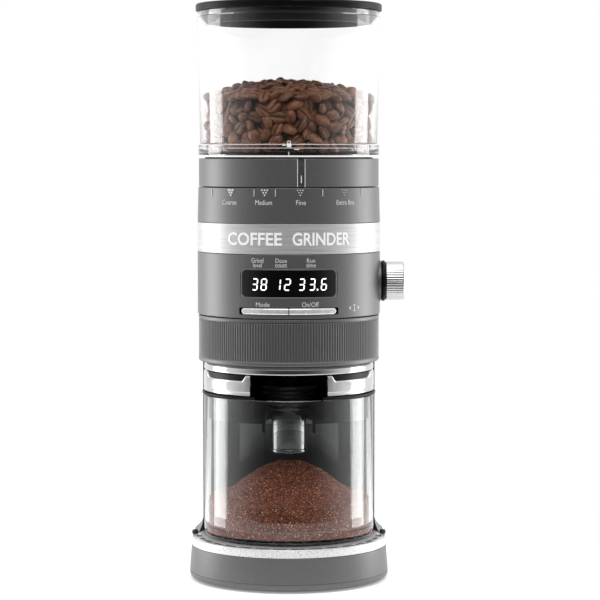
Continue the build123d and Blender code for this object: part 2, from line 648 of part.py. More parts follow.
for side, word in ((1, "right"), (-1, "left")):
    pivot = (side * ARM_PIN[0], ARM_PIN[1])
    arm_start = first_bearing(side, ARM_START, ARM_END)

    with BuildPart() as relief:
        ring(ARM_R + 6, ARM_R - 6, RELIEF_Z, ARM_HIGH + 6,
             bearing=first_bearing(side, RELIEF_FROM, RELIEF_TO), arc=RELIEF_TO - RELIEF_FROM)
        corners = relief.edges().group_by(Axis.Z)[0].filter_by(GeomType.LINE)
        fillet(corners, 3.4)

    with BuildPart() as arm:
        ring(ARM_R, ARM_R - 1.5, ARM_LOW, ARM_HIGH, bearing=arm_start, arc=ARM_END - ARM_START)
        add(relief.part, mode=Mode.SUBTRACT)
    save(arm, f"{word}_arm")

    with BuildPart() as carrier:
        ring(ARM_R - 1.5, 50, ARM_LOW + 1.3, ARM_HIGH - 0.2,
             bearing=first_bearing(side, CARRIER_FROM, ARM_END), arc=ARM_END - CARRIER_FROM)
        ring(ARM_R - 1.5, 54.2, ARM_LOW + 0.1, ARM_HIGH - 0.2,
             bearing=first_bearing(side, ARM_START + 1, CARRIER_FROM + 4),
             arc=CARRIER_FROM + 3 - ARM_START)
        rod(5, ARM_LOW + 1.3, ARM_HIGH - 0.2, pivot)
        rod(ARM_PIN_R + RUN, ARM_LOW, ARM_HIGH, pivot, Mode.SUBTRACT)
        rod(DRIVE_PIN_R, ARM_HIGH - 0.4, HOLDER_LOW + 2.1, pin_path(side, in_ring=False)[0])
    save(carrier, f"{word}_arm_carrier")

# ------------------------------------------------------------------ head skins and frame
REAR_OPENING = ((-PLATE_HALF - 1.7, PLATE_HALF + 1.7), (0, 80), (CONTROL_LOW - 3, COVER_HIGH + 2.4))

with BuildPart() as control_shell:
    skin(HEAD_R, FRAME_R - 1, CONTROL_LOW, CONTROL_HIGH, EDGE)
    cross_rod(KNOB_SKIRT_R, FRAME_R - 8, HEAD_R + 0.5, KNOB_Z)
    rod(FRAME_R + 0.1, CONTROL_LOW - 1, CONTROL_HIGH + 1, mode=Mode.SUBTRACT)
    block(*REAR_OPENING, Mode.SUBTRACT)
    front_window((-WINDOW_HALF, WINDOW_HALF), (WINDOW_LOW, WINDOW_HIGH), 3)
    front_window((-BUTTON_HALF - 0.4, BUTTON_HALF + 0.4), (BUTTON_LOW - 0.4, BUTTON_HIGH + 0.4), 0.8)
    cross_rod(3.6, 50, 70, KNOB_Z, Mode.SUBTRACT)
save(control_shell, "control_shell")

with BuildPart() as steel_band:
    ring(HEAD_R, HEAD_R - SHEET, CONTROL_HIGH + 0.2, BAND_HIGH, rounding=0.2)
save(steel_band, "steel_band")

with BuildPart() as scale_ring:
    turned([(FRAME_R + 0.1, BAND_HIGH + 0.2), (HEAD_R, BAND_HIGH + 0.2), (HEAD_R - 0.6, SCALE_HIGH),
            (45, SCALE_HIGH), (45, SCALE_HIGH - 2.4), (FRAME_R + 0.1, SCALE_HIGH - 2.4)], EDGE)
save(scale_ring, "scale_ring")

with BuildPart() as head_frame:
    ring(FRAME_R, FRAME_R - 1.5, GEARBOX_FLOOR, SCALE_HIGH - 3)
    ring(HEAD_R - SHEET - 0.1, FRAME_R - 1, CONTROL_HIGH + 0.3, BAND_HIGH - 0.1)
    ring(FRAME_R - 1, 36, SCALE_HIGH - 5.5, SCALE_HIGH - 3)
    block(*REAR_OPENING, Mode.SUBTRACT)
    front_window((-36, 36), (GEARBOX_FLOOR - 5, WINDOW_HIGH + 3), 2)
    cross_rod(7, 50, 70, KNOB_Z, Mode.SUBTRACT)
save(head_frame, "head_frame")

# ------------------------------------------------------------------ controls
with BuildPart() as display_lens:
    ring(HEAD_R - 0.2, FRAME_R + 0.2, WINDOW_LOW, WINDOW_HIGH, bearing=-45, arc=90)
    front_window((-WINDOW_HALF + 0.1, WINDOW_HALF - 0.1), (WINDOW_LOW + 0.1, WINDOW_HIGH - 0.1), 2.9,
                 Mode.INTERSECT)
save(display_lens, "display_lens")

with BuildPart() as display_module:
    block((-30, 30), (BOARD_Y - 2.6, BOARD_Y), (WINDOW_LOW + 0.8, WINDOW_HIGH - 0.8))
save(display_module, "display_module")

SWITCH_X = 16.5
with BuildPart() as control_board:
    block((-31, 31), (BOARD_Y, BOARD_Y + 1.6), (GEARBOX_FLOOR + 0.4, WINDOW_HIGH + 2))
    for side in (-1, 1):
        block((side * SWITCH_X - 2, side * SWITCH_X + 2), (BOARD_Y - 0.6, BOARD_Y), (189.6, 191.8))
save(control_board, "control_board")

with BuildPart() as encoder:
    block((44, 54), (-7, 7), (KNOB_Z - 7, KNOB_Z + 7))
    cross_rod(4.8, 54, 58.8, KNOB_Z)
    cross_rod(3 + RUN, 54.4, 60, KNOB_Z, Mode.SUBTRACT)
save(encoder, "encoder")

with BuildPart() as control_knob:
    cross_rod(KNOB_R, HEAD_R + 3.8, KNOB_END, KNOB_Z)
    fillet(control_knob.edges().group_by(Axis.X)[-1], 0.8)
    cross_rod(KNOB_R - 2.8, KNOB_END - 0.7, KNOB_END + 1, KNOB_Z, Mode.SUBTRACT)
    cross_rod(KNOB_SKIRT_R, HEAD_R + 0.8, HEAD_R + 3.8, KNOB_Z)
    cross_rod(3, 55, HEAD_R + 1, KNOB_Z)
save(control_knob, "control_knob")

BUTTON_SPLIT = 0.3
for side, name in ((-1, "mode_button"), (1, "start_button")):
    with BuildPart() as button:
        skin(HEAD_R + 0.7, FRAME_R - 0.3, BUTTON_LOW, BUTTON_HIGH, 0.3, bearing=-45, arc=90)
        half = sorted((side * BUTTON_SPLIT, side * BUTTON_HALF))
        block(half, (-70, -45), (BUTTON_LOW, BUTTON_HIGH), Mode.INTERSECT)
        block((side * SWITCH_X - 2, side * SWITCH_X + 2), (-59.5, BOARD_Y - 1.8), (189.6, 191.8))
    save(button, name)

# ------------------------------------------------------------------ grind collar
POINTER_WIDTH = 5.4


def pointer_place(radius, z):
    """A place on the collar's wall at the pointer, facing outwards."""
    turn = radians(POINTER_BEARING)
    return Location((radius * sin(turn), -radius * cos(turn), z), (0, 0, POINTER_BEARING))


COLLAR_WEB = COLLAR_LOW + 2.8
with BuildPart() as grind_collar:
    ring(COLLAR_R, COLLAR_R - WALL, COLLAR_LOW, COLLAR_HIGH, rounding=EDGE)
    ring(COLLAR_R - 2, SLEEVE_R - WALL, COLLAR_LOW, COLLAR_WEB)
    ring(SLEEVE_R, SLEEVE_R - WALL, LUG_HIGH - 5, COLLAR_LOW + 1)
    with Locations((0, 0, LUG_HIGH - 2.5)):
        with PolarLocations(LUG_R - 1.5, 3):
            Box(3, 6, 5)
    with Locations(pointer_place(COLLAR_R, (COLLAR_LOW + COLLAR_HIGH) / 2)):
        Box(POINTER_WIDTH, 4.6, 30, mode=Mode.SUBTRACT)
save(grind_collar, "grind_collar")

with BuildPart() as pointer_window:
    ring(COLLAR_R + 0.1, COLLAR_R - 2.2, COLLAR_LOW + 0.1, COLLAR_HIGH - 0.1, bearing=0, arc=20)
    with Locations(pointer_place(COLLAR_R, (COLLAR_LOW + COLLAR_HIGH) / 2)):
        Box(POINTER_WIDTH - 0.1, 8, 30, mode=Mode.INTERSECT)
    fillet(pointer_window.edges().filter_by(Axis.Z), 0.3)
save(pointer_window, "pointer_window")

# ------------------------------------------------------------------ hopper, beans and lid
NECK_R = 58.5
with BuildPart() as hopper:
    turned([(62.8, 394.7), (62.8, 391.3), (63.5, 390.8), (61.6, 303.4), (62.9, 302.8),
            (62.9, HOPPER_LOW), (NECK_R, HOPPER_LOW), (NECK_R, 289.6), (30, 283.8), (21.2, 280.2),
            (21.2, 278), (19.6, 278), (19.6, 281.4), (28.5, 286.2), (55.6, 292.4), (59.4, 297.2),
            (59.7, 303.2), (61.5, 391), (61.5, 394.7)])
    with Locations((0, 0, 291.5)):
        with PolarLocations(NECK_R - 0.5, 7, start_angle=-91.4):
            Box(2.8, 7, 2)
save(hopper, "hopper")

with BuildPart() as coffee_beans:
    turned([(0, 281.6), (19.4, 281.6), (28.2, 286.5), (55.2, 292.8), (59.0, 297.5), (59.4, 303.3),
            (60.2, 340), (45, 343.5), (25, 346.8), (0, 348)])
save(coffee_beans, "coffee_beans")

SEAL_LOW = 390.6
SEAL_HIGH = 392.4
with BuildPart() as hopper_lid:
    rod(LID_R, LID_LOW, LID_HIGH)
    fillet(hopper_lid.edges().group_by(Axis.Z)[-1], 1.4)
    fillet(hopper_lid.edges().group_by(Axis.Z)[0], 0.5)
    turned([(54, LID_LOW + 1), (61.0, LID_LOW + 1), (61.0, SEAL_HIGH), (60, SEAL_HIGH),
            (60, SEAL_LOW), (60.8, SEAL_LOW), (56.6, 386.1), (54, 386.1)])
    rod(54, LID_LOW - 10, LID_HIGH - 2.4, mode=Mode.SUBTRACT)
save(hopper_lid, "hopper_lid")

with BuildPart() as lid_seal:
    ring(61.2, 60, SEAL_LOW, SEAL_HIGH, rounding=0.3)
save(lid_seal, "lid_seal")

# ------------------------------------------------------------------ jar
JAR_WALL = 2.3
JAR_FLOOR = JAR_FOOT + 4.0
PLUG_R = JAR_R - JAR_WALL - 0.3
PLUG_LOW = 113.7
NOTCH_HALF = 23.2
TUBE_R = 12.3
TUBE_BORE = 11.1
POCKET_R = 16.0

with BuildPart() as jar_inside:
    rod(JAR_R - JAR_WALL, JAR_FLOOR, JAR_RIM + 1)
    fillet(jar_inside.edges().group_by(Axis.Z)[0], 3.5)

with BuildPart() as glass_jar:
    rod(JAR_R, JAR_FOOT, JAR_RIM)
    fillet(glass_jar.edges().group_by(Axis.Z)[0], 5)
    add(jar_inside.part, mode=Mode.SUBTRACT)
save(glass_jar, "glass_jar")

with BuildPart() as jar_lid:
    ring(PLUG_R, PLUG_R - 2.4, PLUG_LOW, JAR_RIM)
    ring(60.5, PLUG_R - 2.4, JAR_RIM, JAR_LID_TOP, rounding=0.6)
    ring(PLUG_R - 1, TUBE_R + 0.7, PLUG_LOW, PLUG_LOW + 3)
    block((-NOTCH_HALF, NOTCH_HALF), (-70, -40), (PLUG_LOW + 3, 140), Mode.SUBTRACT)
    ring(POCKET_R + 2, POCKET_R, 107.5, PLUG_LOW, bearing=90, arc=180)
    for side in (-1, 1):
        leg = sorted((side * POCKET_R, side * (POCKET_R + 2)))
        block(leg, (-52, 0), (107.5, PLUG_LOW))
    block((-POCKET_R, POCKET_R), (-70, -10), (100, PLUG_LOW + 8), Mode.SUBTRACT)
save(jar_lid, "jar_lid")

with BuildPart() as drop_tube:
    turned([(TUBE_BORE, 87), (12.9, 87), (12.9, 88.6), (TUBE_R, 89.4), (TUBE_R, 116.7), (13.6, 117.1),
            (13.6, 120.6), (12.4, 121), (12.4, 124), (TUBE_BORE, 124)])
save(drop_tube, "drop_tube")

FLANGE_Z = 125.0
FLANGE_DROOP = 9           # degrees the boot's flange hangs forwards
with BuildPart() as chute_boot:
    turned([(12.4, 121), (15, 121), (17.6, 124.5), (18.6, 126), (18.6, 129), (17.9, 129.6),
            (18.6, 130.2), (18.6, 132), (17.9, 132.6), (19.0, 133.3), (19.8, 134.3), (19.8, 135.2),
            (19.2, 136), (17.6, 136), (16.6, 134.6), (16, 126.5), (12.4, 124)])
    with Locations(Location((0, 0, FLANGE_Z), (FLANGE_DROOP, 0, 0))):
        Cylinder(22.5, 2.4)
    fillet(chute_boot.edges().filter_by(GeomType.CIRCLE).sort_by(SortBy.RADIUS)[-2:], 1.0)
    rod(12.4, 115, 126, mode=Mode.SUBTRACT)
    rod(15.9, 125.5, 134, mode=Mode.SUBTRACT)
save(chute_boot, "chute_boot")

with BuildPart() as ground_coffee:
    turned([(0, 34.1), (52.8, 34.1), (56.5, 37.8), (56.5, 57), (50, 57.6), (44, 59.6), (33, 67),
            (22.6, 74.2), (11, 78.7), (0, 80)])
save(ground_coffee, "ground_coffee")
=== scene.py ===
import bmesh
import bpy
import numpy as np
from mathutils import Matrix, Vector


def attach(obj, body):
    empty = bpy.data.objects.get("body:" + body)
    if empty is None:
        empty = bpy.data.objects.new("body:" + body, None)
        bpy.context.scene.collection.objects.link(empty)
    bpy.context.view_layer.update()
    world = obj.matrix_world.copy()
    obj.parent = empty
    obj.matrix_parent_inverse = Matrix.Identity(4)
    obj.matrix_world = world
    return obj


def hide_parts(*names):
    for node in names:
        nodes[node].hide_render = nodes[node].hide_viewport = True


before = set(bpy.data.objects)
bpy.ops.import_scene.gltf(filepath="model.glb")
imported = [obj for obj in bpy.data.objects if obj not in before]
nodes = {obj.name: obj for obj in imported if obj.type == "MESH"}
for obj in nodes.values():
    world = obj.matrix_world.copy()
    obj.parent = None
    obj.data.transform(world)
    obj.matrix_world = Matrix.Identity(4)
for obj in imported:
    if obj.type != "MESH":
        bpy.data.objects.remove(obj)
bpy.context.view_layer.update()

# Burr coffee grinder in metres, worked out in millimetres. The main axis is Z, the front is -Y.
# A bearing is an angle about the main axis, counted from the front, positive to the right (+X).
MM = 0.001
SEED = 7


# ------------------------------------------------------------------ meshes
def grid_faces(rows, columns, wrap_rows=False, wrap_columns=True):
    """Quads that join each point of a grid to its neighbours one row and one column on."""
    row, column = np.meshgrid(np.arange(rows - (not wrap_rows)),
                              np.arange(columns - (not wrap_columns)), indexing="ij")
    row_on, column_on = (row + 1) % rows, (column + 1) % columns
    corners = [row * columns + column, row * columns + column_on,
               row_on * columns + column_on, row_on * columns + column]
    return np.stack(corners, -1).reshape(-1, 4)


def joined(surfaces):
    """Several (points, faces) surfaces as one: face numbers go on from the points before them."""
    starts = np.cumsum([0] + [len(points) for points, _ in surfaces])
    faces = [[n + start for n in face] for start, (_, part) in zip(starts, surfaces)
             for face in part]
    return np.concatenate([points for points, _ in surfaces]), faces


def make(name, surface, finish, body, stands_for=None, crease=35.0, marks=None):
    """A piece from (points in mm, faces): doubled points joined, faces turned outwards, edges
    sharper than the crease angle kept sharp. marks holds one number a point, for its finish."""
    points, faces = surface
    mesh = bpy.data.meshes.new(name)
    mesh.from_pydata((np.asarray(points) * MM).tolist(), [], [list(face) for face in faces])
    for key, numbers in (marks or {}).items():
        mesh.attributes.new(key, "FLOAT", "POINT").data.foreach_set("value", np.float32(numbers))
    work = bmesh.new()
    work.from_mesh(mesh)
    bmesh.ops.remove_doubles(work, verts=work.verts, dist=1e-4 * MM)
    bmesh.ops.recalc_face_normals(work, faces=work.faces)
    work.to_mesh(mesh)
    work.free()
    mesh.polygons.foreach_set("use_smooth", np.ones(len(mesh.polygons), bool))
    mesh.set_sharp_from_angle(angle=np.radians(crease))
    mesh.materials.append(finish)
    piece = bpy.data.objects.new(name, mesh)
    bpy.context.scene.collection.objects.link(piece)
    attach(piece, body)
    if stands_for:
        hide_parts(stands_for)
    return piece


def rounded(corners, steps=5):
    """An outline whose (across, up, size) corners are each a quadratic curve between the two points
    that lie size along the sides that meet there. A corner with no size stays sharp."""
    places = np.array([corner[:2] for corner in corners], float)
    sizes = [corner[2] if len(corner) > 2 else 0.0 for corner in corners]
    share = np.linspace(0, 1, steps + 1)[:, None]
    outline = []
    for n, (place, size) in enumerate(zip(places, sizes)):
        if not size:
            outline.append(place[None])
            continue
        before, after = places[n - 1] - place, places[(n + 1) % len(places)] - place
        start = place + before * min(size / np.hypot(*before), 0.49)
        end = place + after * min(size / np.hypot(*after), 0.49)
        outline.append((1 - share) ** 2 * start + 2 * share * (1 - share) * place + share ** 2 * end)
    return np.concatenate(outline)


def lathe(outline, count=192, ribs=0, depth=0.0, fullness=1.0):
    """An outline of (radius, height, rib share) carried round the main axis: x = r sin b,
    y = -r cos b. Ribs cut the radius by depth x share x ((1 - cos(ribs b)) / 2) ^ fullness."""
    outline = np.asarray(outline, float)
    bearing = np.linspace(0, 2 * np.pi, count, endpoint=False)
    radius, height = outline[:, 0, None], outline[:, 1, None]
    if ribs:
        cut = ((1 - np.cos(ribs * bearing)) / 2) ** fullness
        radius = radius - depth * outline[:, 2, None] * cut
    x, y, z = np.broadcast_arrays(radius * np.sin(bearing), -radius * np.cos(bearing), height)
    on_axis = outline[0, 0] == 0 and outline[-1, 0] == 0
    return np.stack([x, y, z], -1).reshape(-1, 3), grid_faces(len(outline), count, not on_axis)


def on_ring(arc, height, radius, ring):
    """Places on an upright ring: arc is the length along it from the front, so b = arc / ring."""
    bearing = np.asarray(arc) / ring
    x, y, z = np.broadcast_arrays(radius * np.sin(bearing), -radius * np.cos(bearing), height)
    return np.stack([x, y, z], -1)


def raised(shapes, ring, low=-0.05, high=0.05):
    """Flat convex shapes of (arc, height) corners, bent round a ring, from low to high above it."""
    surfaces = []
    for shape in shapes:
        arc, height = np.asarray(shape, float).T
        count = len(arc)
        inner, outer = (on_ring(arc, height, ring + level, ring) for level in (low, high))
        caps = [list(range(count))[::-1], list(range(count, 2 * count))]
        surfaces.append((np.concatenate([inner, outer]), grid_faces(2, count).tolist() + caps))
    return joined(surfaces)


def box_shape(left, right, low, high):
    return [(left, low), (right, low), (right, high), (left, high)]


def dot_shape(arc, height, radius, sides=10):
    turn = np.linspace(0, 2 * np.pi, sides, endpoint=False)
    return np.stack([arc + radius * np.cos(turn), height + radius * np.sin(turn)], -1)


def lettering(name, rows, ring, finish, body, thick=0.12, bold=0.0):
    """Words on an upright ring. A row is (text, left, right, low, high): the letters' own box in
    arc and height is stretched to it, then bent round the ring."""
    surfaces = []
    for text, left, right, low, high in rows:
        curve = bpy.data.curves.new(name, "FONT")
        curve.body, curve.extrude, curve.resolution_u, curve.offset = text, 0.5, 3, bold
        letters = bpy.data.objects.new(name, curve)
        bpy.context.scene.collection.objects.link(letters)
        mesh = bpy.data.meshes.new_from_object(
            letters.evaluated_get(bpy.context.evaluated_depsgraph_get()))
        flat = np.zeros(len(mesh.vertices) * 3)
        mesh.vertices.foreach_get("co", flat)
        flat = flat.reshape(-1, 3)
        share = (flat - flat.min(0)) / (flat.max(0) - flat.min(0))
        arc = left + (right - left) * share[:, 0]
        height = low + (high - low) * share[:, 1]
        faces = [list(face.vertices) for face in mesh.polygons]
        surfaces.append((on_ring(arc, height, ring - 0.06 + thick * share[:, 2], ring), faces))
        bpy.data.objects.remove(letters)
        bpy.data.curves.remove(curve)
        bpy.data.meshes.remove(mesh)
    return make(name, joined(surfaces), finish, body, crease=20)


# ------------------------------------------------------------------ finishes
def linear(colour):
    """The linear colour of an sRGB hex value."""
    parts = np.array([int(colour[n:n + 2], 16) for n in (1, 3, 5)]) / 255
    parts = np.where(parts <= 0.04045, parts / 12.92, ((parts + 0.055) / 1.055) ** 2.4)
    return (*parts.tolist(), 1.0)


def add(tree, kind, inputs=None, **settings):
    """Adds a node. inputs maps a socket to a value, or to the output of another node."""
    node = tree.nodes.new("ShaderNode" + kind)
    for name, value in settings.items():
        setattr(node, name, value)
    for socket, value in (inputs or {}).items():
        if isinstance(value, bpy.types.NodeSocket):
            tree.links.new(value, node.inputs[socket])
        else:
            node.inputs[socket].default_value = value
    return node


def grain(tree, size, stretch=(1, 1, 1), detail=2.0):
    """Cloudy noise whose lumps are size mm across, drawn out along an axis by its stretch."""
    place = add(tree, "TexCoord").outputs["Object"]
    scale = [1 / (size * MM * s) for s in stretch]
    place = add(tree, "Mapping", {"Vector": place, "Scale": scale}).outputs[0]
    return add(tree, "TexNoise", {"Vector": place, "Scale": 1.0, "Detail": detail}).outputs[0]


def finish(name, colours, roughness, size, stretch=(1, 1, 1), relief=0.0, detail=2.0, **shine):
    """A material whose colour runs between two hex values and its roughness between two numbers,
    by noise of that size in mm, with relief as bump height in mm. shine sets shader sockets."""
    material = bpy.data.materials.new(name)
    material.use_nodes = True
    tree = material.node_tree
    tree.nodes.clear()
    noise = grain(tree, size, stretch, detail)
    spread = add(tree, "MapRange", {0: noise, 1: 0.3, 2: 0.7}).outputs[0]
    tone = add(tree, "Mix", {0: spread, 6: linear(colours[0]), 7: linear(colours[1])},
               data_type="RGBA").outputs[2]
    rough = add(tree, "MapRange", {0: noise, 1: 0.3, 2: 0.7, 3: roughness[0],
                                   4: roughness[1]}).outputs[0]
    inputs = {"Base Color": tone, "Roughness": rough}
    if relief:
        inputs["Normal"] = add(tree, "Bump", {"Height": noise, "Distance": relief * MM,
                                              "Strength": 1.0}).outputs[0]
    inputs.update({key.replace("_", " "): value for key, value in shine.items()})
    shader = add(tree, "BsdfPrincipled", inputs)
    output = add(tree, "OutputMaterial", {"Surface": shader.outputs[0]})
    material["shader"], material["output"] = shader.name, output.name
    return material


def parts_of(material):
    tree = material.node_tree
    return tree, tree.nodes[material["shader"]], tree.nodes[material["output"]]


def let_lamps_through(material, tint):
    """Light from lamps passes a clear wall straight, tinted, so that what is inside is lit."""
    tree, shader, output = parts_of(material)
    passing = add(tree, "BsdfTransparent", {"Color": linear(tint)})
    lamp = add(tree, "LightPath").outputs["Is Shadow Ray"]
    mixed = add(tree, "MixShader", {0: lamp, 1: shader.outputs[0], 2: passing.outputs[0]})
    tree.links.new(mixed.outputs[0], output.inputs["Surface"])
    return material


# Baked metallic lacquer on die-cast aluminium and ABS: satin, with fine flake that softens lights.
lacquer = finish("dark_silver_lacquer", ("#636262", "#6b6a6a"), (0.42, 0.46), 0.9, detail=4.0,
                 relief=0.004, Metallic=0.62, Coat_Weight=0.08, Coat_Roughness=0.3)
# Stainless sheet brushed round the head: fine lines along the circumference.
brushed = finish("brushed_stainless", ("#aeaeaf", "#c9c9ca"), (0.34, 0.44), 0.45, (60, 60, 1),
                 relief=0.003, detail=3.0, Metallic=0.45, Anisotropic=0.5)
# Stainless steel polished to a mirror, with the faint waviness of a pressed sheet.
polished = finish("polished_stainless", ("#bcbcbd", "#cacacb"), (0.09, 0.16), 14.0, relief=0.02,
                  Metallic=1.0)
# Stainless sheet of the tray, bead-blasted to an even satin.
satin = finish("satin_stainless", ("#d0d0d1", "#dededf"), (0.26, 0.34), 1.0, relief=0.004,
               Metallic=0.5)
# Turned and plated steel: fine lines round it.
turned_steel = finish("turned_plated_steel", ("#b9b9bb", "#d3d3d4"), (0.2, 0.3), 0.5, (40, 1, 1),
                      relief=0.004, Metallic=1.0)
# Hardened tool steel of the burrs, ground, slightly blue-grey.
burr_steel = finish("ground_tool_steel", ("#8f9296", "#a7aaad"), (0.22, 0.34), 1.2, relief=0.01,
                    Metallic=1.0)
# Injection-moulded ABS, black: a fine even moulding grain, half matt.
black_abs = finish("moulded_black_abs", ("#040404", "#080808"), (0.34, 0.44), 0.8, relief=0.006,
                   detail=4.0, Specular_IOR_Level=0.13)
# Glossy black acrylic over the display.
black_acrylic = finish("gloss_black_acrylic", ("#020202", "#050506"), (0.04, 0.07), 20.0,
                       Coat_Weight=0.3, Coat_Roughness=0.04)
# Vacuum-plated ABS of the keys: silver-white with a soft shine.
silver_abs = finish("plated_silver_abs", ("#dcdcdc", "#f0f0f0"), (0.2, 0.28), 2.5, Metallic=0.55)
# Moulded silicone rubber: black, matt, a little dusty.
rubber = finish("black_silicone_rubber", ("#1e1e1f", "#29292a"), (0.34, 0.42), 1.4, relief=0.02,
                detail=4.0)
# Grey moulded polypropylene of the bar on the column.
grey_plastic = finish("pale_grey_polypropylene", ("#b9babb", "#c6c7c8"), (0.4, 0.5), 1.1,
                      relief=0.01)
# Screen-printed ink and enamelled letters: near white, slightly uneven. Also used for painted
# highlights on the hopper's moulded edges and the pointer window's edges.
white_ink_and_highlights = finish("white_ink_and_painted_highlights", ("#e4e4e4", "#f4f4f4"), (0.4, 0.5), 0.7, relief=0.003)
grey_ink = finish("pale_grey_ink", ("#bfbfbf", "#d0d0d0"), (0.4, 0.5), 0.7, relief=0.003)
# Die-cast zinc and aluminium inside, as it leaves the die.
cast_alloy = finish("die_cast_alloy", ("#8d8f91", "#a2a4a6"), (0.45, 0.6), 2.2, relief=0.04,
                    detail=5.0, Metallic=1.0)
# Glass-fibre circuit board under green solder resist.
board = finish("green_circuit_board", ("#12402a", "#1c5a3a"), (0.3, 0.42), 2.0, detail=5.0)
# Enamelled copper wire and laminated iron of the armature.
copper = finish("enamelled_copper", ("#8a4a28", "#b06a3c"), (0.25, 0.4), 0.8, (1, 1, 6),
                relief=0.05, Metallic=1.0)
ferrite = finish("sintered_ferrite", ("#2c2c2e", "#3a3a3c"), (0.5, 0.65), 1.5, relief=0.02)
bearing_steel = finish("ground_bearing_steel", ("#a9abad", "#c2c4c6"), (0.12, 0.2), 1.0,
                       Metallic=1.0)
gear_nylon = finish("moulded_white_nylon", ("#d8d4c8", "#e8e5dc"), (0.38, 0.5), 1.2, relief=0.01,
                    Subsurface_Weight=0.1)
# Moulded clear copolyester of the hopper and the tube, and blown glass of the jar.
clear_plastic = let_lamps_through(finish(
    "clear_copolyester", ("#fbfbfb", "#ffffff"), (0.0, 0.015), 30.0, relief=0.006,
    Transmission_Weight=1.0, IOR=1.5), "#f2f2f2")
clear_glass = let_lamps_through(finish(
    "blown_clear_glass", ("#f6faf9", "#fdffff"), (0.0, 0.01), 24.0, relief=0.01,
    Transmission_Weight=1.0, IOR=1.5), "#eff3f2")

# Light-emitting segments behind the acrylic: white, slightly uneven.
lit = finish("white_led_segments", ("#f4f6ff", "#ffffff"), (0.3, 0.4), 1.6)
tree, shader, _ = parts_of(lit)
shader.inputs["Emission Strength"].default_value = 1.0
tree.links.new(shader.inputs["Base Color"].links[0].from_socket, shader.inputs["Emission Color"])

# Roasted arabica beans: brown, a dull oily shine, darker from bean to bean, with painted shade
# darkening the crease.
roasted = finish("roasted_coffee_bean", ("#5a321c", "#95603e"), (0.34, 0.48), 3.2, detail=4.0,
                 relief=0.12, Specular_IOR_Level=0.45)
tree, shader, _ = parts_of(roasted)
# The tone attribute mixes towards #241008: random bean-to-bean tone, times painted shade in the
# crease.
tone_with_crease_shade = add(tree, "Attribute", attribute_name="tone").outputs["Fac"]
shade_and_tone_darkened = add(tree, "Mix", {0: tone_with_crease_shade, 6: linear("#241008"),
                             7: shader.inputs["Base Color"].links[0].from_socket},
               data_type="RGBA").outputs[2]
tree.links.new(shade_and_tone_darkened, shader.inputs["Base Color"])

# Ground coffee: grains near 0.6 mm, each its own brown, a few pale flecks of silver skin.
GRAIN_SIZE = 0.6
ground = finish("ground_coffee", ("#3a1a0e", "#5a2a16"), (0.6, 0.8), 5.0, detail=3.0)
tree, shader, _ = parts_of(ground)
place = add(tree, "TexCoord").outputs["Object"]
grains = add(tree, "TexVoronoi", {"Vector": place, "Scale": 1 / (GRAIN_SIZE * MM)})
pick = add(tree, "SeparateColor", {0: grains.outputs["Color"]}).outputs[0]
ramp = add(tree, "ValToRGB", {0: pick})
steps = ((0.0, "#200a04"), (0.3, "#4e1c0c"), (0.6, "#7a3218"), (0.84, "#a24a26"),
         (0.965, "#c87a46"), (0.994, "#ead2b8"))
while len(ramp.color_ramp.elements) < len(steps):
    ramp.color_ramp.elements.new(0.5)
for element, (position, colour) in zip(ramp.color_ramp.elements, steps):
    element.position, element.color = position, linear(colour)
speckled = add(tree, "Mix", {0: 0.85, 6: shader.inputs["Base Color"].links[0].from_socket,
                             7: ramp.outputs[0]}, data_type="RGBA").outputs[2]
tree.links.new(speckled, shader.inputs["Base Color"])
bump = add(tree, "Bump", {"Height": pick, "Distance": 0.4 * MM, "Strength": 0.9})
tree.links.new(bump.outputs[0], shader.inputs["Normal"])

# The brushing follows the circumference, so its shine is drawn out across the lines.
tree, shader, _ = parts_of(brushed)
round_axis = add(tree, "Tangent", direction_type="RADIAL", axis="Z").outputs[0]
tree.links.new(round_axis, shader.inputs["Tangent"])

KEPT_FINISHES = {
    lacquer: "base_shell base_plate column_shell column_strip control_shell scale_ring grind_collar",
    rubber: "foot_ring lid_seal cord_gland",
    black_abs: "hopper_lid jar_lid head_floor left_arm_carrier right_arm_carrier grinding_chamber "
               "ring_burr_carrier grind_chute head_frame display_module encoder",
    brushed: "steel_band",
    satin: "drip_tray",
    black_acrylic: "display_lens",
    grey_plastic: "strip_bar",
    clear_plastic: "pointer_window",
    cast_alloy: "gearbox_plate gearbox_cover head_core motor_can",
    turned_steel: "base_screws gearbox_screws idler_pin burr_shaft burr_nut arm_pins motor_pinion",
    burr_steel: "cone_burr ring_burr grind_impeller",
    board: "power_board control_board",
    copper: "motor_armature",
    ferrite: "motor_magnets",
    bearing_steel: "shaft_bearings driven_gear",
    gear_nylon: "idler_gear",
}
for material, names in KEPT_FINISHES.items():
    for node_name in names.split():
        nodes[node_name].data.materials.clear()
        nodes[node_name].data.materials.append(material)

# ------------------------------------------------------------------ hopper
hopper_outline = rounded([
    (62.8, 394.7, 0.4), (62.8, 391.3), (63.5, 390.8), (61.6, 303.6, 0.5), (62.9, 302.8, 0.4),
    (62.9, 294.4, 0.4), (58.5, 294.4, 0.5), (58.5, 289.6, 0.6), (30, 283.8, 1.5), (21.2, 280.2, 1),
    (21.2, 278), (19.6, 278), (19.6, 281.4, 1.5), (28.5, 286.2, 3), (55.6, 292.4, 4),
    (59.4, 297.2, 3), (59.7, 303.2), (61.5, 391), (61.5, 394.7, 0.4)], 4)
make("hopper", lathe(hopper_outline, 224), clear_plastic, "bean_hopper", "hopper")

# ------------------------------------------------------------------ beans
BEAN = np.array([11.8, 8.8, 6.4])
rng = np.random.default_rng(SEED)


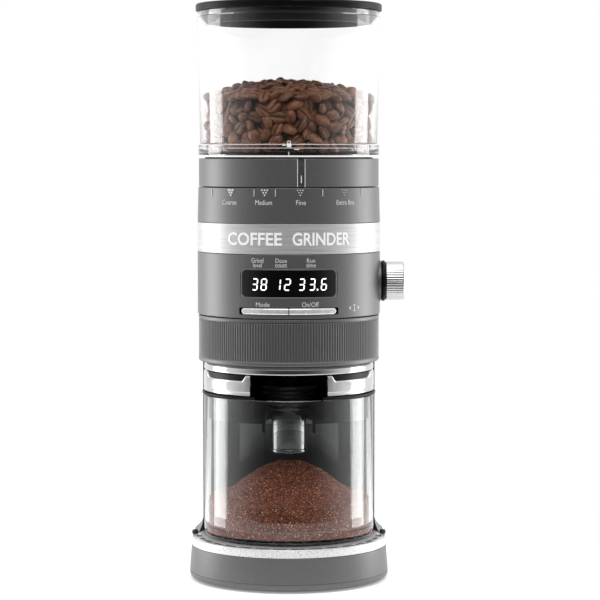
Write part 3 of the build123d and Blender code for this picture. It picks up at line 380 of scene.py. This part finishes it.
def bean_shape():
    """A bean along x: x = cos v, and round it (cos u, sin u) x sin v ^ 0.8. The lower side is
    flattened to 0.6 and has a crease, raised by exp(-(y / 0.14)^2)."""
    around = np.radians([270, 281, 300, 335, 10, 50, 90, 130, 170, 205, 240, 259])
    along = np.linspace(0, np.pi, 9)[:, None]
    girth = np.sin(along) ** 0.8
    x = np.repeat(np.cos(along), len(around), 1)
    y = girth * np.cos(around)
    under = np.sin(around) < 0
    z = girth * np.sin(around) * np.where(under, 0.62, 1.0)
    groove = under * np.exp(-(y / 0.14) ** 2) * np.sin(along) ** 0.3
    z = z + 0.36 * groove
    points = np.stack([x, y, z], -1).reshape(-1, 3) * BEAN / 2
    return points, grid_faces(len(along), len(around)), groove.reshape(-1)


def spread_out(places, keep_in, apart, rounds=60):
    """Pushes places away from each other until neighbours are about apart mm away, all at once."""
    for _ in range(rounds):
        gaps = places[:, None] - places[None]
        far = np.linalg.norm(gaps, axis=-1) + 1e-6
        push = np.clip(apart - far, 0, None) / far * (far > 1e-5)
        places = keep_in(places + 0.3 * np.einsum("ij,ijk->ik", push, gaps))
    return places


WALL_ROOM = 54.6           # how far out the middle of a bean can lie
HEAP_LOW = 299.0           # lowest middle of a bean
LAYERS_DEEP = 10.5         # two layers of beans, wall or top inwards
BEAN_APART = 8.6
HEAP_TOP = ((0, 344.5), (25, 342.5), (42, 338.5), (WALL_ROOM, 335.0))


def heap_height(radius):
    return np.interp(radius, *zip(*HEAP_TOP))


def keep_in_shell(places):
    """Holds places in the outer two layers of the heap."""
    radius = np.hypot(places[:, 0], places[:, 1])
    held = np.clip(radius, 1e-3, WALL_ROOM)
    places = places.copy()
    places[:, :2] *= (held / radius)[:, None]
    top = heap_height(held)
    places[:, 2] = np.clip(places[:, 2], HEAP_LOW, top)
    inside = np.minimum(WALL_ROOM - held, top - places[:, 2])
    deep = inside > LAYERS_DEEP
    near_wall = (WALL_ROOM - held) < (top - places[:, 2])
    outwards = deep & near_wall
    places[outwards, :2] *= ((WALL_ROOM - LAYERS_DEEP) / held[outwards])[:, None]
    upwards = deep & ~near_wall
    places[upwards, 2] = top[upwards] - LAYERS_DEEP
    return places


BEANS = 860
start = rng.uniform(-1, 1, (BEANS * 3, 3)) * (WALL_ROOM, WALL_ROOM, 23) + (0, 0, 322)
start = start[np.hypot(start[:, 0], start[:, 1]) < WALL_ROOM][:BEANS]
middles = spread_out(keep_in_shell(start), keep_in_shell, BEAN_APART)


def lay_beans(middles):
    """Each bean's flat side faces along a direction: out to the wall near it, up near the top of
    the heap, then tipped at random; its long axis is turned at random about that."""
    radius = np.hypot(middles[:, 0], middles[:, 1])
    wallward = np.stack([middles[:, 0] / radius, middles[:, 1] / radius, 0 * radius], -1)
    share = np.clip((heap_height(radius) - middles[:, 2]) / 8, 0, 1)[:, None]
    face = wallward * share + np.array([0, 0, 1.0]) * (1 - share)
    face = face + rng.normal(0, 0.38, face.shape)
    face = face / np.linalg.norm(face, axis=1)[:, None]
    face = face * np.where(rng.random(len(face)) < 0.5, -1, 1)[:, None]
    long_way = np.cross(face, rng.normal(0, 1, face.shape))
    long_way = long_way / np.linalg.norm(long_way, axis=1)[:, None]
    side_way = np.cross(face, long_way)
    size = rng.uniform(0.88, 1.08, (len(face), 1, 1))
    shape, quads, groove = bean_shape()
    bent = shape[None] * size
    points = (middles[:, None] + bent[..., :1] * long_way[:, None] + bent[..., 1:2] * side_way[:, None]
              + bent[..., 2:] * face[:, None])
    wall = np.interp(points[..., 2], (297.2, 303.2, 391), (59.0, 59.4, 61.2))
    reach = np.hypot(points[..., 0], points[..., 1]) - wall
    over = np.clip(reach.max(1), 0, None)
    points = points - over[:, None, None] * wallward[:, None]
    low = np.clip(296.6 - points[..., 2].min(1), 0, None)
    points[..., 2] += low[:, None]
    # Painted shade: each bean's random tone is cut by up to three quarters along its crease.
    tone = rng.uniform(0.55, 1.0, (len(face), 1)) * (1 - 0.75 * groove[None])
    starts = np.arange(len(face))[:, None, None] * len(shape)
    return points.reshape(-1, 3), (quads[None] + starts).reshape(-1, 4), tone.reshape(-1)


bean_points, bean_quads, bean_tones_with_crease_shade = lay_beans(middles)
make("coffee_beans", (bean_points, bean_quads.tolist()), roasted, "bean_hopper",
     "coffee_beans", crease=80, marks={"tone": bean_tones_with_crease_shade})
# Painted shade: a core stands for the beans deeper in the heap and takes tone 0, so it is coloured the
# near black #241008.
shaded_core = lathe(rounded([(0, 281.8), (19.2, 281.8), (28, 286.8, 2), (52, 294.0, 4), (52, 332.0, 6),
                      (40, 336, 6), (0, 339)]), 64)
make("beans_within", shaded_core, roasted, "bean_hopper", marks={"tone": np.zeros(len(shaded_core[0]))})

# ------------------------------------------------------------------ jar and what it holds
jar_outline = rounded([
    (0, 31.2), (49, 31.2, 2), (52.5, 29.8, 2), (56.2, 29.8, 2.5), (59.2, 33.4, 4), (59.2, 129.9, 1.1),
    (56.9, 129.9, 1.1), (56.9, 37.4, 4.5), (52.4, 33.8, 4.5), (0, 33.8)], 6)
make("glass_jar", lathe(jar_outline, 224), clear_glass, "jar", "glass_jar")

HEAP = ((0, 80.0), (11, 78.7), (22.6, 74.2), (33, 67.0), (44, 59.6), (50, 57.6), (56.3, 57.0))


def grounds_surface(columns=440, across=112, down=28):
    """A heap: height by distance from the axis through the points of HEAP, then its side down to
    the jar's floor. Each point is moved by even noise of about half a grain, over slow waves."""
    out = np.linspace(0, 56.3, across)
    smooth = np.interp(out, *zip(*HEAP))
    radius = np.concatenate([out, np.full(down, 56.3), np.linspace(56.3, 0, 5)[1:]])
    height = np.concatenate([smooth, np.linspace(57.0, 34.3, down + 1)[1:], np.full(4, 34.3)])
    turn = np.linspace(0, 2 * np.pi, columns, endpoint=False)
    r, z = radius[:, None] * np.ones(columns), height[:, None] * np.ones(columns)
    upper = (np.arange(len(radius)) < across)[:, None]
    side = (np.arange(len(radius)) < across + down)[:, None]
    free = np.clip(r / 4, 0, 1)
    waves = (np.cos(3 * turn + r / 9) + np.cos(7 * turn - r / 6) + np.cos(11 * turn + r / 4)) * 0.28
    z = z + upper * free * (waves * np.clip((57 - r) / 8, 0, 1) + rng.uniform(-0.3, 0.3, r.shape))
    r = r - side * (r > 3) * rng.uniform(0, 0.5, r.shape)
    points = np.stack([r * np.sin(turn), -r * np.cos(turn), z], -1)
    return points.reshape(-1, 3), grid_faces(len(radius), columns)


make("ground_coffee", grounds_surface(), ground, "jar", "ground_coffee", crease=70)

tube_outline = rounded([
    (11.6, 87.0, 0.4), (12.7, 87.0, 0.5), (12.9, 88.4, 0.5), (12.3, 89.4, 0.4), (12.3, 116.4, 0.6),
    (13.6, 117.4, 0.6), (13.6, 120.6, 0.6), (12.3, 121.4, 0.4), (12.3, 124.0), (11.6, 124.0)], 3)
make("drop_tube", lathe(tube_outline, 128), clear_plastic, "jar", "drop_tube")

boot_outline = rounded([
    (12.4, 121.4), (17.0, 121.4, 1), (20.8, 123.4, 1.2), (22.5, 124.4, 0.8), (22.5, 125.6, 0.8),
    (19.4, 127.2, 1.2), (18.2, 128.4, 0.8), (19.0, 129.2, 0.5), (18.0, 129.9, 0.5), (18.0, 130.3, 0.4),
    (19.2, 131.2, 0.6), (19.2, 131.9, 0.5), (18.2, 132.4, 0.4), (18.2, 132.8, 0.4), (19.4, 133.6, 0.6),
    (19.8, 134.6, 0.7), (19.4, 136.0, 0.8), (18.0, 136.0, 0.6), (16.2, 133.0, 1), (14.2, 127.0, 1),
    (12.4, 124.6)], 3)
boot_points, boot_faces = lathe(boot_outline, 144)
DROOP = np.tan(np.radians(9))
lowness = np.clip((128.6 - boot_points[:, 2]) / 3, 0, 1) * np.clip(
    (np.hypot(boot_points[:, 0], boot_points[:, 1]) - 13) / 5, 0, 1)
boot_points[:, 2] += boot_points[:, 1] * DROOP * lowness * 0.75
make("chute_boot", (boot_points, boot_faces), rubber, "jar", "chute_boot")

# ------------------------------------------------------------------ holder ring, trim and arms
RIBS = 200
holder_outline = [
    (57.3, 155.5, 0), (45.2, 155.4, 0), (45.2, 153.2, 0), (61.6, 153.1, 0), (62.4, 153.3, 0),
    (62.8, 153.8, 0), (62.9, 154.5, 0), (62.9, 155.5, 0), (62.7, 155.9, 0.2), (62.7, 156.3, 1.0),
    (62.75, 157.2, 1.0), (62.75, 181.4, 1.0), (62.6, 182.1, 1.0), (62.3, 182.3, 0.3),
    (62.1, 182.5, 0), (62.1, 182.8, 0), (62.85, 183.1, 0), (62.9, 183.4, 0), (62.9, 184.6, 0),
    (62.7, 185.0, 0), (62.3, 185.2, 0), (57.3, 185.2, 0)]
make("holder_ring", lathe(holder_outline, RIBS * 6, RIBS, 0.7, 2.0), lacquer, "holder",
     "holder_ring", crease=50)

trim_outline = rounded([
    (57.05, 146.8, 0.3), (58.0, 146.8, 0.8), (59.1, 147.4, 1.0), (59.1, 150.6, 2.2),
    (57.9, 152.5, 0.8), (57.05, 152.5, 0.2)], 6)
make("trim_ring", lathe(trim_outline, 224), polished, "housing", "trim_ring")

ARM_LOW, ARM_HIGH, RELIEF = 132.3, 146.5, 142.8


def arm_surface(side):
    """A bent plate. Its section is carried from 26.5 to 118 degrees of bearing. The upper edge drops
    to the relief between 30.5 and 73 degrees by smooth steps, and rolls inwards along its length."""
    degrees = np.linspace(26.5, 118, 150)
    inner_step = np.clip((degrees - 29.5) / 3.5, 0, 1)
    outer_step = np.clip((76 - degrees) / 9, 0, 1)
    soft = (inner_step ** 2 * (3 - 2 * inner_step)) * (outer_step ** 2 * (3 - 2 * outer_step))
    top = ARM_HIGH - (ARM_HIGH - RELIEF) * soft
    curl = np.linspace(0, np.pi / 2, 6)
    outer_low = [(57.95, 0.0), (58.9, 0.0), (59.35, 0.35), (59.4, 0.9), (59.35, 1.5), (59.0, 1.8),
                 (58.95, 2.0), (59.2, 2.5), (59.4, 3.6)]
    section = [(radius, low, 0.0) for radius, low in outer_low]
    section += [(59.4 - 1.3 * (1 - np.cos(c)), 0.0, -2.2 * (1 - np.sin(c))) for c in curl]
    section += [(57.95, 0.0, -0.7), (57.95, 0.0, -2.4)]
    radius, low, fall = np.array(section).T
    from_top = np.arange(len(section)) >= len(outer_low)
    height = np.where(from_top[:, None], top + fall[:, None], ARM_LOW + low[:, None])
    bearing = np.radians(degrees) * side
    x, y = radius[:, None] * np.sin(bearing), -radius[:, None] * np.cos(bearing)
    points = np.stack([x, y, height], -1).reshape(-1, 3)
    count, steps = len(section), len(degrees)
    ends = [[row * steps + column for row in range(count)] for column in (0, steps - 1)]
    return points, grid_faces(count, steps, True, False).tolist() + ends


for side, word in ((-1, "left"), (1, "right")):
    make(f"{word}_arm", arm_surface(side), polished, f"{word}_holder_arm",
         f"{word}_arm", crease=50)

# ------------------------------------------------------------------ knob and keys
KNOB_Z = 208.2


def about_knob(surface):
    """The same surface about the knob's axis: what was up points to the right."""
    points, faces = surface
    return points[:, [2, 0, 1]] + (0, 0, KNOB_Z), faces


knob_outline = [
    (0, 67.35, 0), (12.2, 67.35, 0), (12.9, 67.5, 0), (13.25, 67.9, 0.4), (13.3, 68.3, 1),
    (13.3, 79.0, 1), (13.15, 79.6, 0.8), (12.7, 80.1, 0.2), (12.1, 80.35, 0), (11.4, 80.4, 0),
    (10.9, 80.2, 0), (10.6, 79.8, 0), (8, 79.6, 0), (4, 79.5, 0), (0, 79.5, 0)]
make("control_knob", about_knob(lathe(knob_outline, 48 * 6, 48, 0.3, 1.5)), turned_steel, "knob",
     "control_knob", crease=50)
skirt_outline = rounded([(0, 64.4), (13.4, 64.4, 0.5), (14.2, 65.0, 0.5), (14.2, 66.6, 0.8),
                         (13.2, 67.34, 0.4), (0, 67.34)], 3)
make("knob_skirt", about_knob(lathe(skirt_outline, 96)), black_abs, "knob")
stem_outline = [(0, 55.2), (2.9, 55.2), (2.9, 64.42), (0, 64.42)]
make("knob_stem", about_knob(lathe(stem_outline, 32)), turned_steel, "knob")

KEY_MIDDLE, KEY_HALF = 190.65, 2.0


def key_surface(side):
    """A bar bent round the head from arc 0.35 to 33.1. Its half height follows a circle over the
    last 2 mm of the outer end, and its front is crowned by v^4 from 64.2."""
    arc = np.concatenate([[0.35, 0.5, 0.8], np.linspace(1.4, 31, 40), 33.1 - 2 * (
        1 - np.sin(np.linspace(0.05, np.pi / 2, 9)))])
    near_end = np.clip((arc - 31.1) / 2, 0, 1)
    half = KEY_HALF * np.sqrt(np.clip(1 - near_end ** 2, 0.02, 1)) * np.interp(
        arc, (0.35, 0.8), (0.88, 1.0))
    across = np.linspace(-1, 1, 9)
    crown = 64.2 - 0.45 * across ** 4
    section = np.concatenate([np.stack([across, crown], -1), [(1, 60.9), (-1, 60.9)]])
    v, radius = section.T
    height = KEY_MIDDLE + half * v[:, None]
    points = on_ring(side * arc, height, radius[:, None], 63.5).reshape(-1, 3)
    count, steps = len(section), len(arc)
    ends = [[row * steps + column for row in range(count)] for column in (0, steps - 1)]
    return points, grid_faces(count, steps, True, False).tolist() + ends


for side, word, key in ((-1, "mode_button", "mode_key"), (1, "start_button", "start_key")):
    make(word, key_surface(side), silver_abs, key, word)

# ------------------------------------------------------------------ display
LENS_RING = 63.3
DIGIT_LOW, DIGIT_TALL, DIGIT_WIDE = 204.8, 8.2, 4.3
BAR_THICK, BAR_GAP = 0.8, 0.22
LIT_SEGMENTS = {"1": "bc", "2": "abged", "3": "abgcd", "6": "afgecd", "8": "abcdefg"}


def digit_shapes(digit, left):
    """Seven bars with pointed ends on a box that leans to the right by a twelfth."""
    thick, gap = BAR_THICK, BAR_GAP
    wide, tall = DIGIT_WIDE, DIGIT_TALL
    half = tall / 2
    posts = {"f": thick / 2, "b": wide - thick / 2, "e": thick / 2, "c": wide - thick / 2}
    bars = {"a": tall - thick / 2, "g": half, "d": thick / 2}
    shapes = []
    for name in LIT_SEGMENTS[digit]:
        if name in posts:
            across = posts[name]
            if name in "fb":
                low, high = half + gap, tall - thick / 2 - gap
            else:
                low, high = thick / 2 + gap, half - gap
            t = thick / 2
            shape = [(across, low), (across + t, low + t), (across + t, high - t), (across, high),
                     (across - t, high - t), (across - t, low + t)]
        else:
            up, t = bars[name], thick / 2
            low, high = thick / 2 + gap, wide - thick / 2 - gap
            shape = [(low, up), (low + t, up - t), (high - t, up - t), (high, up), (high - t, up + t),
                     (low + t, up + t)]
        shapes.append([(left + x + y / 12, DIGIT_LOW + y) for x, y in shape])
    return shapes


digits = []
for digit, left in (("3", -25.9), ("8", -19.5), ("1", -10.1), ("2", -3.4), ("3", 6.2), ("3", 13.4),
                    ("6", 21.8)):
    digits += digit_shapes(digit, left)
digits.append(dot_shape(19.6, DIGIT_LOW + 0.6, 0.62))
make("display_digits", raised(digits, LENS_RING, -0.03, 0.06), lit, "housing",
     crease=20)


def bezel_surface(half_wide=33.9, low=199.3, high=219.5, corner=3.9, wide=1.0):
    """A rounded rectangle bent round the head. Its section is a low half round, wide mm across."""
    middle, half_tall = (low + high) / 2, (high - low) / 2
    quarter = np.linspace(0, np.pi / 2, 9)
    turns = np.concatenate([quarter + n * np.pi / 2 for n in range(4)])
    across = np.concatenate([[half_wide - corner] * 9, [corner - half_wide] * 18,
                             [half_wide - corner] * 9])
    up = np.concatenate([[half_tall - corner] * 18, [corner - half_tall] * 18])
    straight = np.linspace(0, 1, 24, endpoint=False)
    outward = np.stack([np.cos(turns), np.sin(turns)], -1)
    middle_line = np.stack([across, up], -1)
    order = np.concatenate([np.append(np.arange(n * 9, n * 9 + 8), n * 9 + 8 + straight)
                            for n in range(4)])
    index = np.arange(37)
    outward = np.concatenate([outward, outward[:1]])
    middle_line = np.concatenate([middle_line, middle_line[:1]])
    outward = np.stack([np.interp(order, index, outward[:, n]) for n in (0, 1)], -1)
    middle_line = np.stack([np.interp(order, index, middle_line[:, n]) for n in (0, 1)], -1)
    bow = np.linspace(0, np.pi, 7)
    reach = corner - wide / 2 + wide / 2 * np.concatenate([np.cos(bow), [-1, 1]])
    level = np.concatenate([0.32 * np.sin(bow), [-0.5, -0.5]])
    place = middle_line[None] + outward[None] * reach[:, None, None]
    points = on_ring(place[..., 0], middle + place[..., 1], 63.5 + level[:, None], 63.5)
    return points.reshape(-1, 3), grid_faces(len(reach), len(order), True, True)


make("display_bezel", bezel_surface(), lacquer, "housing", crease=60)

# ------------------------------------------------------------------ printed words and marks
SHELL_RING, BAND_RING, SCALE_RING = 63.5, 63.5, 63.2
lettering("panel_words", [
    ("Grind", -25.9, -17.3, 223.5, 226.6), ("level", -24.6, -18.4, 220.4, 223.2),
    ("Dose", -9.0, -1.4, 223.6, 226.4), ("count", -9.2, -1.2, 220.4, 223.0),
    ("Run", 12.2, 18.0, 223.6, 226.4), ("time", 11.8, 18.4, 220.4, 223.2),
    ("Mode", -22.6, -13.0, 193.9, 196.8), ("On/Off", 8.8, 20.6, 193.7, 197.0)],
    SHELL_RING, grey_ink, "housing", 0.1)
lettering("band_words", [("COFFEE", -44.6, -4.6, 235.0, 243.8), ("GRINDER", 2.4, 44.6, 235.0, 243.8)],
          BAND_RING, white_ink_and_highlights, "housing", 0.3, 0.022)


def ring_arc(seen, ring):
    """The arc on a ring whose place lies seen mm to the right of the axis."""
    return ring * np.arcsin(seen / ring)


scale_marks = []
for seen in (-52.3, -23.4, -9.0, 22.8, 49.6):
    arc = ring_arc(seen, SCALE_RING)
    scale_marks.append(box_shape(arc - 0.22, arc + 0.22, 268.1, 272.8))
for seen, dot in ((-39.3, 0.8), (-16.25, 0.64), (7.7, 0.46), (37.4, 0.32)):
    arc = ring_arc(seen, SCALE_RING)
    for row, count in enumerate((3, 2, 1)):
        for step in range(count):
            across = (step - (count - 1) / 2) * 1.85
            scale_marks.append(dot_shape(arc + across, 272.2 - 1.65 * row, dot, 8))
make("scale_marks", raised(scale_marks, SCALE_RING, -0.25, 0.16), grey_ink, "housing",
     crease=20)
words = []
for text, seen, wide in (("Coarse", -40.3, 12.6), ("Medium", -16.9, 11.6), ("Fine", 8.2, 6.6),
                         ("Extra fine", 38.4, 15.0)):
    arc = ring_arc(seen, SCALE_RING)
    words.append((text, arc - wide / 2, arc + wide / 2, 262.3, 265.6))
lettering("scale_words", words, SCALE_RING, grey_ink, "housing", 0.25)

POINTER_ARC = 62.5 * np.radians(7.7)
# Painted highlights: the two long white bars stand for the bright edges of the clear pointer window.
# The short bar between them is the pointer line.
pointer_line_and_edge_highlights = [box_shape(POINTER_ARC - 2.7, POINTER_ARC - 2.38, 274.4, 293.1),
                 box_shape(POINTER_ARC + 2.38, POINTER_ARC + 2.7, 274.4, 293.1),
                 box_shape(POINTER_ARC - 0.25, POINTER_ARC + 0.25, 277.0, 282.0)]
make("pointer_line_and_edge_highlights", raised(pointer_line_and_edge_highlights, 62.5, -0.1, 0.2), white_ink_and_highlights, "collar",
     crease=20)


def turn_marks(arc, height):
    """A small open dial between two arrow heads that point apart."""
    shapes = []
    for side in (-1, 1):
        tip, back = arc + side * 5.0, arc + side * 3.1
        shapes.append([(tip, height), (back, height + 1.5), (back + side * 0.45, height)][::side])
        shapes.append([(tip, height), (back + side * 0.45, height), (back, height - 1.5)][::side])
    shapes.append(box_shape(arc - 0.3, arc + 0.3, height - 1.7, height + 1.7))
    shapes.append(box_shape(arc - 1.2, arc + 1.2, height + 1.7, height + 2.2))
    shapes.append(box_shape(arc - 1.2, arc + 1.2, height - 2.2, height - 1.7))
    return shapes


make("turn_marks", raised(turn_marks(ring_arc(44.5, SHELL_RING), 192.3), SHELL_RING), grey_ink,
     "housing", crease=20)

lock_marks = [box_shape(-0.2, 0.2, 295.2, 298.0), box_shape(3.6, 7.0, 299.3, 299.8),
              box_shape(-1.3, 1.7, 301.0, 303.6), box_shape(-0.9, -0.5, 303.5, 304.9),
              box_shape(0.9, 1.3, 303.5, 304.9), box_shape(-0.9, 1.3, 304.9, 305.3),
              box_shape(-4.2, -2.0, 302.0, 302.6)]
make("lock_marks", raised(lock_marks, 62.9, -0.05, 0.12), white_ink_and_highlights, "bean_hopper",
     crease=20)

# Painted highlights: thin white rings on the hopper's skirt stand for its bright moulded edges.
EDGE_HIGHLIGHT_BANDS = ((294.45, 295.5), (300.3, 300.6), (302.7, 303.0))
edge_highlight_rings = joined([lathe([(62.5, low), (62.95, low), (62.95, high), (62.5, high)], 160)
                     for low, high in EDGE_HIGHLIGHT_BANDS])
make("skirt_edge_highlights", edge_highlight_rings, white_ink_and_highlights, "bean_hopper")

# ------------------------------------------------------------------ rubber on the tray
# Two small black domes at the dark gap where the tray's plate meets the column's flare.
NUB_SIDE, NUB_BACK = 66.0, 4.0
for side, word in ((-1, "left"), (1, "right")):
    outline = rounded([(0, 29.7), (2.0, 29.7, 0.4), (2.4, 31.0, 0.6), (1.9, 32.6, 0.7), (0, 33.0)], 3)
    points, faces = lathe(outline, 28)
    make(f"{word}_stop", (points + (side * NUB_SIDE, NUB_BACK, 0), faces), rubber, "tray")

# Pads of rubber in the dimples of the tray, each a rounded box with its long side round the tray.
PADS, PAD_STEP, PAD_RING, PAD_CORNER = 16, 11.25, 62.6, 0.7
pads = []
for bearing in np.radians(np.arange(PADS) * PAD_STEP - PAD_STEP * (PADS - 1) / 2):
    turn = np.linspace(0, 2 * np.pi, 24, endpoint=False)
    along = 3.9 * np.sign(np.cos(turn)) + PAD_CORNER * np.cos(turn)
    outward = PAD_RING + 1.15 * np.sign(np.sin(turn)) + PAD_CORNER * np.sin(turn)
    x = outward * np.sin(bearing) + along * np.cos(bearing)
    y = along * np.sin(bearing) - outward * np.cos(bearing)
    rings = [np.stack([x, y, np.full(24, level)], -1) for level in (29.15, 29.5)]
    caps = [list(range(24))[::-1], list(range(24, 48))]
    pads.append((np.concatenate(rings), grid_faces(2, 24).tolist() + caps))
make("tray_pads", joined(pads), rubber, "tray")

# ------------------------------------------------------------------ floor, light and camera
FLOOR_RADIUS = 0.27
CAMERA_LENS = 142.62
CAMERA_PLACE, CAMERA_AIM = (0, -1.6566, 0.2986), (0.0078, 0, 0.19464)
STRIP_BEARING, STRIP_AWAY = 107, 1.1

bpy.ops.mesh.primitive_circle_add(vertices=96, radius=FLOOR_RADIUS, fill_type="NGON")
floor = bpy.context.object
floor.name = "floor"
floor.data.materials.append(finish("matt_white_paper", ("#f4f4f4", "#fafafa"), (0.85, 0.95), 4.0,
                                   Emission_Color=(1, 1, 1, 1), Emission_Strength=0.25))

world = bpy.data.worlds.new("studio")
bpy.context.scene.world = world
world.use_nodes = True
tree = world.node_tree
tree.nodes.clear()
towards = add(tree, "SeparateXYZ", {0: add(tree, "TexCoord").outputs["Generated"]})
behind = add(tree, "MapRange", {0: towards.outputs["Y"], 1: -1.0, 2: 0.15},
             interpolation_type="SMOOTHSTEP").outputs[0]
steep = add(tree, "MapRange", {0: towards.outputs["Z"], 1: 0.22, 2: 0.8},
            interpolation_type="SMOOTHSTEP").outputs[0]
open_side = add(tree, "Math", {0: behind, 1: steep}, operation="MAXIMUM").outputs[0]
mirrored = add(tree, "MapRange", {0: open_side, 3: 0.05, 4: 1.15}).outputs[0]
soft = add(tree, "MapRange", {0: open_side, 3: 0.6, 4: 1.0}).outputs[0]
path = add(tree, "LightPath")
deep = add(tree, "MapRange", {0: path.outputs["Transmission Depth"], 1: 2.4, 2: 2.6, 4: 0.2})
softened = add(tree, "Math", {0: path.outputs["Is Diffuse Ray"], 1: deep.outputs[0]},
               operation="MAXIMUM")
shade = add(tree, "Mix", {0: softened.outputs[0], 2: mirrored, 3: soft},
            data_type="FLOAT").outputs[0]
strength = add(tree, "Mix", {0: path.outputs["Is Camera Ray"], 2: shade, 3: 1.0},
               data_type="FLOAT")
background = add(tree, "Background", {"Color": (1, 1, 1, 1), "Strength": strength.outputs[0]})
add(tree, "OutputWorld", {"Surface": background.outputs[0]})


def softbox(name, bearing, distance, middle, wide, tall, power, aim_at=None):
    """An area light at a bearing from the front, facing the main axis at aim_at or level with it."""
    data = bpy.data.lights.new(name, "AREA")
    data.shape, data.size, data.size_y, data.energy = "RECTANGLE", wide, tall, power
    light = bpy.data.objects.new(name, data)
    bpy.context.scene.collection.objects.link(light)
    turn = np.radians(bearing)
    light.location = (distance * np.sin(turn), -distance * np.cos(turn), middle)
    aim = Vector((0, 0, middle if aim_at is None else aim_at)) - light.location
    light.rotation_euler = aim.to_track_quat("-Z", "Y").to_euler()
    light.visible_camera = False
    return light


for side in (-1, 1):
    softbox("strip_light", side * STRIP_BEARING, STRIP_AWAY, 0.01, 0.52, 0.82, 6.4)
    softbox("upper_strip_light", side * STRIP_BEARING, STRIP_AWAY, 0.71, 0.52, 0.58, 1.6)
softbox("overhead_light", 0, 0.8, 1.6, 1.2, 1.2, 11.5, 0.25)

camera_data = bpy.data.cameras.new("camera")
camera = bpy.data.objects.new("camera", camera_data)
bpy.context.scene.collection.objects.link(camera)
camera_data.sensor_width = 36
camera_data.lens = CAMERA_LENS
camera.location = CAMERA_PLACE
look = Vector(CAMERA_AIM) - camera.location
camera.rotation_euler = look.to_track_quat("-Z", "Y").to_euler()
bpy.context.scene.camera = camera
bpy.context.scene.view_settings.view_transform = "Standard"
